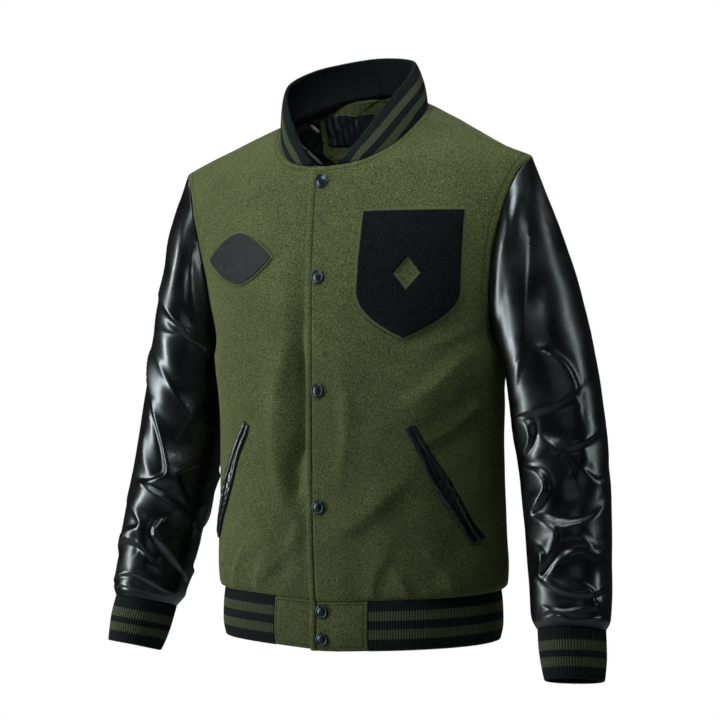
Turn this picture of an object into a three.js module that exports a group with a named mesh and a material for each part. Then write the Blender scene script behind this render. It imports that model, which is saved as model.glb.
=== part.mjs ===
import * as THREE from 'three';

// A wool varsity jacket with leather sleeves and striped rib trims, filled out as it hangs on a wearer.
// Millimetres. +Z is up, +X is the wearer's left and -Y is the front.
// The origin lies midway between the two points where the shoulder seams meet the neck.

// Wall thicknesses and clearances
const WOOL = 2.4;
const LEATHER = 1.8;
const RIB = 3.2;
const THIN = 0.9;
const GAP = 0.3;
const ON_PANEL = 0.9;

// Front overlap: the wearer's left front lies over the right one
const OVERLAP = 17;
const BAND = 9;
const LIFT = WOOL + GAP + 1.1;
const LIFT_FULL_TO = 19;
const LIFT_FADES_AT = 62;

// Rib trims
const RIB_PITCH = 4;
const RIB_DEPTH = 0.5;

const COLOURS = {
  wool: 0x4a5230,
  leather: 0x0d0e10,
  rib: 0x10161c,
  satin: 0x121820,
  lining: 0x0a0a0c,
  metal: 0x2b3238,
  chenille: 0x0c1118,
  felt: 0x56603a,
};

// The body's sections from the hem up to the shoulder seam.
// x, z: the side seam, and the armhole above row 6; yf, yb: its depth on the front and the back panel.
// fx, fy, fz: the front panel's centre line and then its neckline; bx, by, bz: the back panel's.
// wide: how far the section's oval runs past the seam; square: its squareness, where 2 is an ellipse.
const BODY = [
  { x: 178, z: -556, yf: 24, yb: 24, fx: 0, fy: -72, fz: -567, bx: 0, by: 111, bz: -545, wide: 1, square: 2.3 },
  { x: 185.5, z: -549, yf: 24, yb: 24, fx: 0, fy: -74, fz: -560, bx: 0, by: 117, bz: -538, wide: 1, square: 2.3 },
  { x: 187, z: -526, yf: 24, yb: 24, fx: 0, fy: -77, fz: -532, bx: 0, by: 119, bz: -518, wide: 1, square: 2.3 },
  { x: 184, z: -468, yf: 23, yb: 23, fx: 0, fy: -81, fz: -468, bx: 0, by: 118, bz: -468, wide: 1, square: 2.25 },
  { x: 182, z: -388, yf: 20, yb: 20, fx: 0, fy: -83, fz: -386, bx: 0, by: 119, bz: -388, wide: 1, square: 2.2 },
  { x: 184, z: -328, yf: 16, yb: 16, fx: 0, fy: -83, fz: -322, bx: 0, by: 119, bz: -324, wide: 1, square: 2.2 },
  { x: 188, z: -283, yf: 11, yb: 11, fx: 0, fy: -83, fz: -268, bx: 0, by: 118, bz: -266, wide: 1, square: 2.2 },
  { x: 184, z: -253, yf: -5, yb: 28, fx: 0, fy: -83, fz: -222, bx: 0, by: 115, bz: -210, wide: 1.01, square: 2.2 },
  { x: 187, z: -208, yf: -23, yb: 43, fx: 0, fy: -82, fz: -166, bx: 0, by: 110, bz: -134, wide: 1.05, square: 2.2 },
  { x: 196, z: -151, yf: -29, yb: 48, fx: 0, fy: -77, fz: -108, bx: 0, by: 99, bz: -44, wide: 1.12, square: 2.15 },
  { x: 206, z: -111, yf: -27, yb: 43, fx: 0, fy: -70, fz: -64, bx: 0, by: 86, bz: 42, wide: 1.2, square: 2.1 },
  { x: 218, z: -75, yf: -16, yb: 28, fx: 45, fy: -62, fz: -54, bx: 45, by: 76, bz: 36, wide: 1.3, square: 2 },
  { x: 226.5, z: -60, yf: -8, yb: 14, fx: 77, fy: -37, fz: -32, bx: 77, by: 49, bz: 21, wide: 1.4, square: 2 },
  { x: 231, z: -53, yf: 0, yb: 0, fx: 92, fy: 0, fz: 0, bx: 92, by: 0, bz: 0, wide: 1.5, square: 2 },
];
const ARMPIT = 6;
const NECK = 10;
const SHOULDER = 13;
const SHOULDER_BOW = 1.12;

// Large soft folds of the body, as lines in the front view: height is how far they stand out, or in where negative.
// They end in points, and bow is the middle's sideways bend.
const FRONT_FOLDS = {
  left: [
    { x0: 172, z0: -300, x1: 92, z1: -356, bow: 8, width: 17, height: 3.5 },
    { x0: 150, z0: -268, x1: 60, z1: -318, bow: -6, width: 20, height: -2.5 },
    { x0: 168, z0: -352, x1: 124, z1: -396, bow: 6, width: 14, height: -3 },
    { x0: 60, z0: -360, x1: 84, z1: -520, bow: -10, width: 24, height: 2.5 },
    { x0: 176, z0: -440, x1: 120, z1: -550, bow: 12, width: 16, height: -2.5 },
  ],
  right: [
    { x0: 34, z0: -262, x1: 30, z1: -440, bow: -10, width: 15, height: -7 },
    { x0: 62, z0: -300, x1: 52, z1: -460, bow: -12, width: 15, height: 4 },
    { x0: 168, z0: -290, x1: 90, z1: -350, bow: 8, width: 16, height: 3.5 },
    { x0: 36, z0: -470, x1: 60, z1: -545, bow: 6, width: 14, height: -4 },
    { x0: 150, z0: -330, x1: 96, z1: -400, bow: -8, width: 14, height: -3 },
  ],
};
const BACK_FOLDS = [
  { x0: 150, z0: -250, x1: 40, z1: -330, bow: 10, width: 18, height: 3.5 },
  { x0: -160, z0: -262, x1: -46, z1: -322, bow: -8, width: 18, height: 3.5 },
  { x0: 120, z0: -400, x1: 132, z1: -520, bow: 10, width: 20, height: 3 },
  { x0: -96, z0: -380, x1: -120, z1: -510, bow: -10, width: 20, height: -3 },
  { x0: 20, z0: -360, x1: -20, z1: -520, bow: 14, width: 24, height: -3 },
];

// How many steps each interval between two rows is cut into
const BODY_STEPS = [1, 1, 2, 3, 2, 2, 2, 2, 1, 2, 3, 2, 1];
// Shares of a panel's width where its grid has a column, from the centre line to the side
const FRONT_COLUMNS = [0, 0.07, 0.15, 0.26, 0.38, 0.5, 0.62, 0.75, 0.88, 1];
const BACK_COLUMNS = [0, 0.12, 0.24, 0.36, 0.48, 0.61, 0.74, 0.87, 1];

// The sleeve's rings from the armhole down. ox, oz: its outer edge; ix, iz: its inner edge;
// y: its centre's depth; half: half its depth from front to back; pitch: how far the ring's front is tipped up.
const SLEEVE = [
  { ox: 231, oz: -53, ix: 188, iz: -283, y: 9, half: 40, pitch: 0 },
  { ox: 241, oz: -80, ix: 194, iz: -292, y: 9, half: 50, pitch: 0 },
  { ox: 253, oz: -116, ix: 198, iz: -303, y: 13, half: 56, pitch: 0 },
  { ox: 266, oz: -164, ix: 199, iz: -317, y: 19, half: 60, pitch: -0.04 },
  { ox: 279, oz: -214, ix: 199, iz: -335, y: 24, half: 61, pitch: -0.05 },
  { ox: 290, oz: -264, ix: 199.5, iz: -359, y: 28, half: 60, pitch: -0.03 },
  { ox: 300, oz: -316, ix: 203, iz: -387, y: 29, half: 58, pitch: 0.02 },
  { ox: 309, oz: -372, ix: 209, iz: -420, y: 26, half: 55, pitch: 0.1 },
  { ox: 316, oz: -430, ix: 216, iz: -456, y: 19, half: 53, pitch: 0.18 },
  { ox: 321, oz: -485, ix: 224, iz: -500, y: 8, half: 50, pitch: 0.22 },
  { ox: 325, oz: -540, ix: 232, iz: -549, y: -3, half: 47, pitch: 0.24 },
  { ox: 327, oz: -574, ix: 238, iz: -581, y: -11, half: 43, pitch: 0.24 },
  { ox: 323, oz: -586, ix: 245, iz: -592, y: -14, half: 38, pitch: 0.24 },
];
const SLEEVE_ROWS = 21;

// Folds of the leather, as lines from row and turn (degrees) to row and turn. width is in millimetres.
const SLEEVE_FOLDS = {
  left: [
    { t0: 2.2, a0: 70, t1: 5.2, a1: 88, bow: 6, width: 16, height: 3 },
    { t0: 5.6, a0: 150, t1: 6.9, a1: 62, bow: 0.5, width: 10, height: 5 },
    { t0: 6.9, a0: 62, t1: 7.6, a1: 40, bow: -0.2, width: 9, height: 4 },
    { t0: 7.2, a0: 40, t1: 8, a1: 150, bow: -0.4, width: 10, height: 6 },
    { t0: 8.1, a0: 10, t1: 8.6, a1: 90, bow: 0.2, width: 9, height: -4 },
    { t0: 8.7, a0: 140, t1: 9.3, a1: 60, bow: 0.4, width: 8, height: 6 },
    { t0: 9.4, a0: 20, t1: 9.5, a1: 110, bow: 0.5, width: 8, height: 5 },
    { t0: 10, a0: 150, t1: 10.5, a1: 50, bow: -0.3, width: 7, height: 5 },
    { t0: 10.8, a0: 10, t1: 11, a1: 120, bow: 0.3, width: 6, height: 4 },
    { t0: 6.2, a0: 200, t1: 7.4, a1: 290, bow: 0.5, width: 10, height: 5 },
    { t0: 7.8, a0: 190, t1: 8.5, a1: 300, bow: -0.4, width: 9, height: 5 },
    { t0: 9.2, a0: 200, t1: 9.8, a1: 320, bow: 0.4, width: 8, height: 5 },
    { t0: 10.6, a0: 180, t1: 10.9, a1: 300, bow: -0.3, width: 7, height: 4 },
    { t0: 7.3, a0: 300, t1: 8.2, a1: 372, bow: 0.2, width: 9, height: -4 },
  ],
  right: [
    { t0: 2.4, a0: 120, t1: 4.6, a1: 104, bow: 8, width: 14, height: 3 },
    { t0: 4.7, a0: 60, t1: 5.9, a1: 160, bow: 0.3, width: 10, height: 6 },
    { t0: 5.6, a0: 40, t1: 6.1, a1: 110, bow: -0.3, width: 10, height: -5 },
    { t0: 6.9, a0: 60, t1: 7.9, a1: 125, bow: -0.4, width: 8, height: 6 },
    { t0: 8, a0: 125, t1: 8.5, a1: 70, bow: 0.3, width: 8, height: 5 },
    { t0: 8.6, a0: 70, t1: 9.5, a1: 160, bow: -0.2, width: 8, height: 5 },
    { t0: 8.2, a0: 180, t1: 9.2, a1: 170, bow: -8, width: 8, height: 5 },
    { t0: 9.1, a0: 50, t1: 9.9, a1: 90, bow: 0.4, width: 8, height: -5 },
    { t0: 9.5, a0: 105, t1: 10.9, a1: 150, bow: -0.3, width: 8, height: 6 },
    { t0: 10.9, a0: 40, t1: 11.2, a1: 120, bow: 0.3, width: 7, height: 4 },
    { t0: 6, a0: 200, t1: 7.2, a1: 290, bow: 0.4, width: 10, height: 5 },
    { t0: 7.7, a0: 190, t1: 8.6, a1: 300, bow: -0.4, width: 9, height: 5 },
    { t0: 9.3, a0: 210, t1: 9.9, a1: 320, bow: 0.4, width: 8, height: 5 },
    { t0: 10.6, a0: 190, t1: 10.9, a1: 300, bow: -0.3, width: 7, height: 4 },
  ],
};
const ROW_LENGTH = 45;
const TURN_LENGTH = 0.92;

const smooth = (t) => {
  const s = Math.min(Math.max(t, 0), 1);
  return s * s * (3 - 2 * s);
};
const lerp = (a, b, t) => a + (b - a) * t;
const vec = (x, y, z) => new THREE.Vector3(x, y, z);
const Y = vec(0, 1, 0);
const Z = vec(0, 0, 1);

// A column of a table at a fractional row, on a curve that never overshoots its rows.
function column(table, key, at) {
  const last = table.length - 1;
  const t = Math.min(Math.max(at, 0), last);
  const i = Math.min(Math.floor(t), last - 1);
  const value = (k) => table[Math.min(Math.max(k, 0), last)][key];
  const slope = (k) => {
    const before = value(k) - value(k - 1);
    const after = value(k + 1) - value(k);
    return before * after > 0 ? (2 * before * after) / (before + after) : 0;
  };
  const end = (k) => (k === 0 || k === last ? value(Math.min(k + 1, last)) - value(Math.max(k - 1, 0)) : slope(k));
  const s = t - i;
  const rise = value(i + 1) - value(i);
  const a = end(i);
  const b = end(i + 1);
  return value(i) + s * (a + s * (3 * rise - 2 * a - b + s * (a + b - 2 * rise)));
}

const SIDE_ROWS = BODY.slice(0, ARMPIT + 1);
const ARMHOLE_ROWS = BODY.slice(ARMPIT);

// Fractional rows where the body's grid has a ring
function stations(steps) {
  const list = [0];
  steps.forEach((count, row) => {
    for (let k = 1; k <= count; k += 1) list.push(row + k / count);
  });
  return list;
}
const BODY_ROWS = stations(BODY_STEPS);

// How high a line of cloth stands at a point near it. All lengths are in the same unit.
function foldHeight(px, py, x0, y0, x1, y1, bow, width, height) {
  const dx = x1 - x0;
  const dy = y1 - y0;
  const length = Math.hypot(dx, dy);
  const s = ((px - x0) * dx + (py - y0) * dy) / (length * length);
  if (s <= 0 || s >= 1) return 0;
  const across = ((px - x0) * -dy + (py - y0) * dx) / length;
  const bend = bow * 4 * s * (1 - s);
  const taper = Math.sqrt(Math.sin(Math.PI * s));
  return height * taper * Math.exp(-(((across - bend) / (width * (0.6 + 0.4 * taper))) ** 2));
}
const foldSum = (folds, x, z) => folds.reduce((sum, f) =>
  sum + foldHeight(x, z, f.x0, f.z0, f.x1, f.z1, f.bow, f.width, f.height), 0);

// Height of a sleeve's folds at row t and turn a in degrees
function sleeveFolds(folds, t, a) {
  const turns = [a - 360, a, a + 360];
  const fade = smooth(t / 2) * smooth((SLEEVE.length - 1 - t) / 0.9);
  return fade * folds.reduce((sum, f) => sum + turns.reduce((part, turn) => part + foldHeight(
    t * ROW_LENGTH,
    turn * TURN_LENGTH,
    f.t0 * ROW_LENGTH,
    f.a0 * TURN_LENGTH,
    f.t1 * ROW_LENGTH,
    f.a1 * TURN_LENGTH,
    f.bow * (Math.abs(f.bow) < 2 ? ROW_LENGTH : 1),
    f.width,
    f.height,
  ), 0), 0);
}

const { left: LEFT_FOLDS, right: RIGHT_FOLDS } = FRONT_FOLDS;
const LEFT_FRONT = { name: 'front', side: 1, edge: BAND - OVERLAP + GAP, over: true, folds: LEFT_FOLDS };
const RIGHT_FRONT = { name: 'front', side: -1, edge: -OVERLAP, over: false, folds: RIGHT_FOLDS };
const LEFT_BACK = { name: 'back', side: 1, edge: 0, over: false, folds: BACK_FOLDS };
const RIGHT_BACK = { ...LEFT_BACK, side: -1 };

// The body's section at row t: where a panel starts and ends, and the turn round the section at a sideways place.
function section(panel, t) {
  const read = (key) => column(BODY, key, t);
  const front = panel.name === 'front';
  const [inX, inY, inZ] = front ? ['fx', 'fy', 'fz'].map(read) : ['bx', 'by', 'bz'].map(read);
  const rows = t <= ARMPIT ? SIDE_ROWS : ARMHOLE_ROWS;
  const outY = column(rows, front ? 'yf' : 'yb', t <= ARMPIT ? t : t - ARMPIT);
  const outX = read('x');
  const startX = inX + panel.edge * Math.max(0, 1 - inX / 45);
  const half = outX * read('wide');
  const power = 2 / read('square');
  const angle = (x) => Math.sign(x) * Math.asin(Math.min(1, (Math.abs(x) / half) ** (1 / power)));
  return { inX, inY, inZ, outX, outY, outZ: read('z'), half, power, angle, from: angle(startX), to: angle(outX) };
}

// A point of the body at row t on the wearer's left, from the centre line (u = 0) to the side seam or armhole (u = 1)
function bodyPoint(panel, t, u) {
  const { inX, inY, inZ, outX, outY, outZ, half, power, angle, from, to } = section(panel, t);
  const bulge = (q) => 1 - Math.cos(q) ** power;
  const phi = lerp(from, to, u);
  const x = Math.sign(phi) * half * Math.abs(Math.sin(phi)) ** power;
  const first = bulge(angle(inX));
  const share = (bulge(phi) - first) / (bulge(to) - first);
  const along = Math.min(Math.max((x - inX) / (outX - inX), 0), 1);
  return vec(x, lerp(inY, outY, share), lerp(inZ, outZ, along ** SHOULDER_BOW));
}

// The share of the way to the side at which the section has a sideways place
function shareAt(panel, t, x) {
  const { angle, from, to } = section(panel, t);
  return Math.min(Math.max((angle(x) - from) / (to - from), 0), 1);
}

// How far the overlapping front stands off the one below it
const liftAt = (x) => LIFT * (1 - smooth((x - LIFT_FULL_TO) / (LIFT_FADES_AT - LIFT_FULL_TO)));

// Folds begin beside the front overlap and push away from the middle of the body
const FOLDS_FROM = 18;
const FOLDS_OVER = 14;
const FOLD_X = 2.2;
const FOLD_Y = 24;

function panelPoint(panel, t, u) {
  const p = bodyPoint(panel, t, u);
  const edge = smooth((1 - u) / 0.2) * smooth(t / 2) * smooth((NECK - t) / 1.5);
  const x = panel.name === 'back' ? p.x * panel.side : p.x;
  const open = panel.name === 'back' ? 1 : smooth((p.x - FOLDS_FROM) / FOLDS_OVER);
  const fold = edge > 0 && open > 0 ? edge * open * foldSum(panel.folds, x, p.z) : 0;
  const out = vec(p.x / FOLD_X, p.y - FOLD_Y, 0).normalize();
  p.addScaledVector(out, fold);
  if (panel.over) p.y -= liftAt(p.x);
  return p;
}

const OUTWARD = 1e-3;

// The panel's outward normal. On a seam that two panels share it lies along the seam's plane on both.
function panelNormal(panel, t, u) {
  const onSide = u > 1 - OUTWARD && t <= ARMPIT;
  const above = onSide ? Math.max(t, OUTWARD) : Math.min(t + OUTWARD, SHOULDER);
  const along = panelPoint(panel, above, u).sub(panelPoint(panel, Math.max(above - 2 * OUTWARD, 0), u));
  const across = panelPoint(panel, t, Math.min(u + OUTWARD, 1))
    .sub(panelPoint(panel, t, Math.max(u - OUTWARD, 0)));
  const outside = vec(0.3, panel.name === 'front' ? -1 : 1, 0.2);
  if (onSide) across.copy(Y);
  if (t > SHOULDER - OUTWARD) along.copy(Y);
  const n = along.cross(across).normalize();
  if (onSide) return n.x < 0 ? n.negate() : n;
  if (t > SHOULDER - OUTWARD) return n.z < 0 ? n.negate() : n;
  return n.dot(outside) < 0 ? n.negate() : n;
}

// Moves a point on a shared seam back into its own panel by half the gap.
function trimmed(panel, t, u, p) {
  const inward = panel.name === 'front' ? -1 : 1;
  const onSeam = (u > 1 - OUTWARD && t <= ARMPIT) || t > SHOULDER - OUTWARD;
  return onSeam ? p.addScaledVector(Y, (inward * GAP) / 2) : p;
}

const mirrored = (p, side) => vec(p.x * side, p.y, p.z);

// The outer and inner face of a panel as grids of points, one row per station.
function panelGrids(panel, columns) {
  const outer = [];
  const inner = [];
  for (const t of BODY_ROWS) {
    const outs = [];
    const ins = [];
    for (const u of columns) {
      const p = trimmed(panel, t, u, panelPoint(panel, t, u));
      const n = panelNormal(panel, t, u);
      outs.push(p);
      ins.push(p.clone().addScaledVector(n, -WOOL));
    }
    outer.push(outs);
    inner.push(ins);
  }
  return { outer, inner };
}

// Collects triangles and turns them into one closed geometry with its faces pointing out.
class Shell {
  constructor() {
    this.points = [];
    this.faces = [];
  }

  add(p) {
    this.points.push(p);
    return this.points.length - 1;
  }

  grid(rows, wrap, flip) {
    const ids = rows.map((row) => row.map((p) => this.add(p)));
    for (let i = 0; i + 1 < ids.length; i += 1) {
      const count = ids[i].length;
      for (let j = 0; j < (wrap ? count : count - 1); j += 1) {
        const k = (j + 1) % count;
        this.quad(ids[i][j], ids[i][k], ids[i + 1][k], ids[i + 1][j], flip);
      }
    }
    return ids;
  }

  quad(a, b, c, d, flip) {
    this.face(a, b, c, flip);
    this.face(a, c, d, flip);
  }

  face(a, b, c, flip) {
    this.faces.push(flip ? [a, c, b] : [a, b, c]);
  }

  // Fills the strip between two lines of points that may differ in number.
  strip(first, second, flip) {
    let i = 0;
    let j = 0;
    while (i + 1 < first.length || j + 1 < second.length) {
      const nextI = (i + 1) / (first.length - 1);
      const nextJ = (j + 1) / (second.length - 1);
      if (j + 1 >= second.length || (i + 1 < first.length && nextI <= nextJ)) {
        this.face(first[i], first[i + 1], second[j], flip);
        i += 1;
      } else {
        this.face(first[i], second[j + 1], second[j], flip);
        j += 1;
      }
    }
  }

  geometry() {
    let volume = 0;
    for (const [a, b, c] of this.faces) {
      volume += this.points[a].dot(this.points[b].clone().cross(this.points[c]));
    }
    const faces = volume < 0 ? this.faces.map(([a, b, c]) => [a, c, b]) : this.faces;
    const made = new THREE.BufferGeometry();
    made.setAttribute('position', new THREE.Float32BufferAttribute(this.points.flatMap((p) => [p.x, p.y, p.z]), 3));
    made.setIndex(faces.flat());
    made.computeVertexNormals();
    return made;
  }
}

// A wall between an outer and an inner grid. They have as many rows as each other; their columns may differ.
function wall(outer, inner, wrap = false) {
  const shell = new Shell();
  const out = shell.grid(outer, wrap, false);
  const inn = shell.grid(inner, wrap, true);
  const loop = (ids) => (wrap ? [...ids, ids[0]] : ids);
  const last = out.length - 1;
  shell.strip(loop(out[0]), loop(inn[0]), true);
  shell.strip(loop(out[last]), loop(inn[last]), false);
  if (!wrap) {
    const side = (ids, k) => ids.map((row) => row[k < 0 ? row.length - 1 : 0]);
    shell.strip(side(out, 0), side(inn, 0), false);
    shell.strip(side(out, -1), side(inn, -1), true);
  }
  return shell.geometry();
}

const group = new THREE.Group();

// The hem hangs a little lower on the wearer's right.
const SAG = 9;
const SAG_FROM = -330;
const SAG_OVER = 200;

function settled(geometry) {
  const at = geometry.getAttribute('position');
  for (let k = 0; k < at.count; k += 1) {
    const share = Math.min(Math.max(-at.getX(k) / 180, 0), 1);
    at.setZ(k, at.getZ(k) - SAG * share * share * smooth((SAG_FROM - at.getZ(k)) / SAG_OVER));
  }
  geometry.computeVertexNormals();
  return geometry;
}

function piece(name, geometry, colour, roughness, metalness = 0) {
  const material = new THREE.MeshStandardMaterial({ color: colour, roughness, metalness });
  const mesh = new THREE.Mesh(geometry, material);
  mesh.name = name;
  group.add(mesh);
  return mesh;
}

const sided = (grid, side) => (side > 0 ? grid : grid.map((row) => row.map((p) => mirrored(p, -1))));

// The two fronts and the back
const leftGrids = panelGrids(LEFT_FRONT, FRONT_COLUMNS);
const rightGrids = panelGrids(RIGHT_FRONT, FRONT_COLUMNS);
const backHalf = panelGrids(LEFT_BACK, BACK_COLUMNS);
const otherBackHalf = panelGrids(RIGHT_BACK, BACK_COLUMNS);

// The back in one piece. Its halves share the centre line up to the neck and part above it.
function backWall(left, right) {
  const shell = new Shell();
  const faces = new Shell();
  const place = (halves) => {
    const ids = halves[0].map((row) => row.map((p) => shell.add(p)));
    const others = halves[1].map((row, k) =>
      row.map((p, j) => (j === 0 && BODY_ROWS[k] <= NECK ? ids[k][0] : shell.add(mirrored(p, -1)))));
    return [ids, others];
  };
  const outer = place([left.outer, right.outer]);
  const inner = place([left.inner, right.inner]);
  const twin = new Map();
  outer.forEach((half, h) => half.forEach((row, k) => row.forEach((id, j) => twin.set(id, inner[h][k][j]))));
  outer.forEach((half, h) => {
    for (let k = 0; k + 1 < half.length; k += 1) {
      for (let j = 0; j + 1 < half[k].length; j += 1) {
        faces.quad(half[k][j], half[k][j + 1], half[k + 1][j + 1], half[k + 1][j], h === 1);
      }
    }
  });
  const edges = new Set(faces.faces.flatMap(([a, b, c]) => [`${a},${b}`, `${b},${c}`, `${c},${a}`]));
  for (const [a, b, c] of faces.faces) {
    shell.face(a, b, c, false);
    shell.face(twin.get(a), twin.get(b), twin.get(c), true);
  }
  for (const edge of edges) {
    const [a, b] = edge.split(',').map(Number);
    if (!edges.has(`${b},${a}`)) shell.quad(b, a, twin.get(a), twin.get(b), false);
  }
  return shell.geometry();
}

piece('front_left', settled(wall(leftGrids.outer, leftGrids.inner)), COLOURS.wool, 0.95);
const rightWall = wall(sided(rightGrids.outer, -1), sided(rightGrids.inner, -1));
piece('front_right', settled(rightWall), COLOURS.wool, 0.95);
piece('back', settled(backWall(backHalf, otherBackHalf)), COLOURS.wool, 0.95);

// The armhole as a loop of panel edge points from the shoulder tip, down the front and up the back.
function armhole(front, back) {
  const rows = BODY_ROWS.map((t, k) => ({ t, k })).filter(({ t }) => t >= ARMPIT);
  const edge = (grids, k) => ({ out: grids.outer[k].at(-1), inn: grids.inner[k].at(-1) });
  const down = rows.slice().reverse().map(({ k }) => edge(front, k));
  const up = rows.slice(1, -1).map(({ k }) => edge(back, k));
  const middle = (a, b) => ({
    out: a.out.clone().add(b.out).multiplyScalar(0.5),
    inn: a.inn.clone().add(b.inn).multiplyScalar(0.5),
  });
  const lastRow = rows.at(-1).k;
  const pit = rows[0].k;
  down[0] = middle(down[0], edge(back, lastRow));
  down[down.length - 1] = middle(edge(front, pit), edge(back, pit));
  return [...down, ...up];
}

const BLEND_ROWS = 4;
const PIT_SPREAD = 0.36;
const SLEEVE_GAP = 0.4;

// A ring point at row t of a sleeve or cuff table and turn angle a: 0 is the outer edge, a quarter turn the front.
function ringPoint(table, t, a) {
  const read = (key) => column(table, key, t);
  const outer = vec(read('ox'), 0, read('oz'));
  const inner = vec(read('ix'), 0, read('iz'));
  const centre = outer.clone().add(inner).multiplyScalar(0.5);
  centre.y = read('y');
  const across = outer.clone().sub(inner).multiplyScalar(0.5);
  const fore = vec(0, -1, read('pitch')).multiplyScalar(read('half'));
  return centre.addScaledVector(across, Math.cos(a)).addScaledVector(fore, Math.sin(a));
}

// The sleeve's outer surface. The first rows run out of the armhole's own line.
function sleeveSurface(loop, folds) {
  const count = loop.length;
  const shift = loop.map((edge, j) => edge.out.clone().sub(ringPoint(SLEEVE, 0, (2 * Math.PI * j) / count)));
  return (t, j) => {
    const p = ringPoint(SLEEVE, t, (2 * Math.PI * j) / count);
    const k = ((j % count) + count) % count;
    const turn = (2 * Math.PI * j) / count;
    const middle = ringPoint(SLEEVE, t, 0).add(ringPoint(SLEEVE, t, Math.PI)).multiplyScalar(0.5);
    const out = ringPoint(SLEEVE, t, turn).sub(middle).normalize();
    p.addScaledVector(out, sleeveFolds(folds, t, THREE.MathUtils.radToDeg(turn)));
    return p.addScaledVector(shift[k], 1 - smooth(t / BLEND_ROWS));
  };
}

function sleeveGrids(front, back, folds) {
  const loop = armhole(front, back);
  const count = loop.length;
  const surface = sleeveSurface(loop, folds);
  const outer = [];
  const inner = [];
  for (let i = 0; i <= SLEEVE_ROWS; i += 1) {
    const t = ((SLEEVE.length - 1) * i) / SLEEVE_ROWS;
    const outs = [];
    const ins = [];
    for (let j = 0; j < count; j += 1) {
      const edge = loop[j];
      if (i === 0) {
        const before = loop[(j + count - 1) % count].out;
        const after = loop[(j + 1) % count].out;
        const inward = edge.inn.clone().sub(edge.out).normalize();
        const away = after.clone().sub(before).cross(inward).normalize();
        if (away.dot(vec(1, 0, 0.6)) < 0) away.negate();
        const pit = 1 - smooth(Math.abs(j / count - 0.5) / PIT_SPREAD * 2);
        const start = edge.out.clone().addScaledVector(away, SLEEVE_GAP).addScaledVector(inward, -GAP * pit);
        const through = inward.multiplyScalar(1 - pit).addScaledVector(Z, pit).normalize();
        outs.push(start);
        ins.push(start.clone().addScaledVector(through, LEATHER));
      } else {
        const p = surface(t, j);
        const down = surface(Math.min(t + 0.05, SLEEVE.length - 1), j).sub(surface(t - 0.05, j));
        const round = surface(t, j + 1).sub(surface(t, j - 1));
        const n = down.cross(round).normalize();
        const centre = surface(t, 0).add(surface(t, count / 2)).multiplyScalar(0.5);
        if (n.dot(p.clone().sub(centre)) < 0) n.negate();
        outs.push(p);
        ins.push(p.clone().addScaledVector(n, -LEATHER));
      }
    }
    outer.push(outs);
    inner.push(ins);
  }
  return { outer, inner };
}

for (const [name, side, front, back] of [
  ['left', 1, leftGrids, backHalf],
  ['right', -1, rightGrids, otherBackHalf],
]) {
  const { outer, inner } = sleeveGrids(front, back, SLEEVE_FOLDS[name]);
  piece(`sleeve_${name}`, wall(sided(outer, side), sided(inner, side), true), COLOURS.leather, 0.35);
}

// The hem's line: q runs from the front edge (0) over the side seam (1) to the centre back (2).
const HEM_FRONT = { name: 'front', side: 1, edge: -OVERLAP, over: false, folds: RIGHT_FOLDS };

// The trim below the hem seam. v: share of its height; out: how far it stands outside the seam line.
const HEM = [
  { v: 0, out: -0.7 },
  { v: 0.2, out: 1.2 },
  { v: 0.6, out: 1.6 },
  { v: 1, out: -1.4 },
];
const HEM_HEIGHT = 58;

function hemLine(q) {
  return q <= 1 ? bodyPoint(HEM_FRONT, 0, q) : bodyPoint(LEFT_BACK, 0, 2 - q);
}

function hemPoint(q, v, raised = 0) {
  const ahead = hemLine(Math.min(q + 0.004, 2));
  const behind = hemLine(Math.max(q - 0.004, 0));
  const p = hemLine(q);
  const out = vec(ahead.y - behind.y, behind.x - ahead.x, 0).normalize();
  p.addScaledVector(out, column(HEM, 'out', v * (HEM.length - 1)) + raised);
  p.z -= GAP + v * HEM_HEIGHT;
  return { p, out };
}

// Where a rising function reaches a value
function solve(rises, value, from, to) {
  let low = from;
  let high = to;
  for (let k = 0; k < 40; k += 1) {
    const mid = (low + high) / 2;
    if (rises(mid) < value) low = mid;
    else high = mid;
  }
  return (low + high) / 2;
}
const hemAtX = (x) => solve((q) => hemLine(q).x, x, 0, 0.9);

// Stops that cut a curve into steps of equal length
function evenStops(curve, from, to, count) {
  const fine = 400;
  const lengths = [0];
  let last = curve(from);
  for (let k = 1; k <= fine; k += 1) {
    const next = curve(lerp(from, to, k / fine));
    lengths.push(lengths.at(-1) + next.distanceTo(last));
    last = next;
  }
  const stops = [];
  let k = 0;
  for (let i = 0; i <= count; i += 1) {
    const aim = (lengths.at(-1) * i) / count;
    while (k < fine - 1 && lengths[k + 1] < aim) k += 1;
    const share = (aim - lengths[k]) / (lengths[k + 1] - lengths[k]);
    stops.push(lerp(from, to, (k + share) / fine));
  }
  return { stops, length: lengths.at(-1) };
}

const PLAIN_STEP = 16;

// A rib-knit wall. surface(v, s) gives a point and its outward direction. Only the outer face has ribs.
function ribWall(surface, from, to, levels, wrap) {
  const middle = (s) => surface(0.5, s).p;
  const { length } = evenStops(middle, from, to, 2);
  const ribs = Math.round(length / RIB_PITCH);
  const fine = evenStops(middle, from, to, 2 * ribs).stops;
  const plain = evenStops(middle, from, to, Math.round(length / PLAIN_STEP)).stops;
  if (wrap) {
    fine.pop();
    plain.pop();
  }
  const outer = levels.map((v) => fine.map((s, k) => {
    const { p, out } = surface(v, s);
    return p.addScaledVector(out, k % 2 ? RIB_DEPTH : 0);
  }));
  const inner = levels.map((v) => plain.map((s) => {
    const { p, out } = surface(v, s);
    return p.addScaledVector(out, -RIB);
  }));
  return wall(outer, inner, wrap);
}

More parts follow.
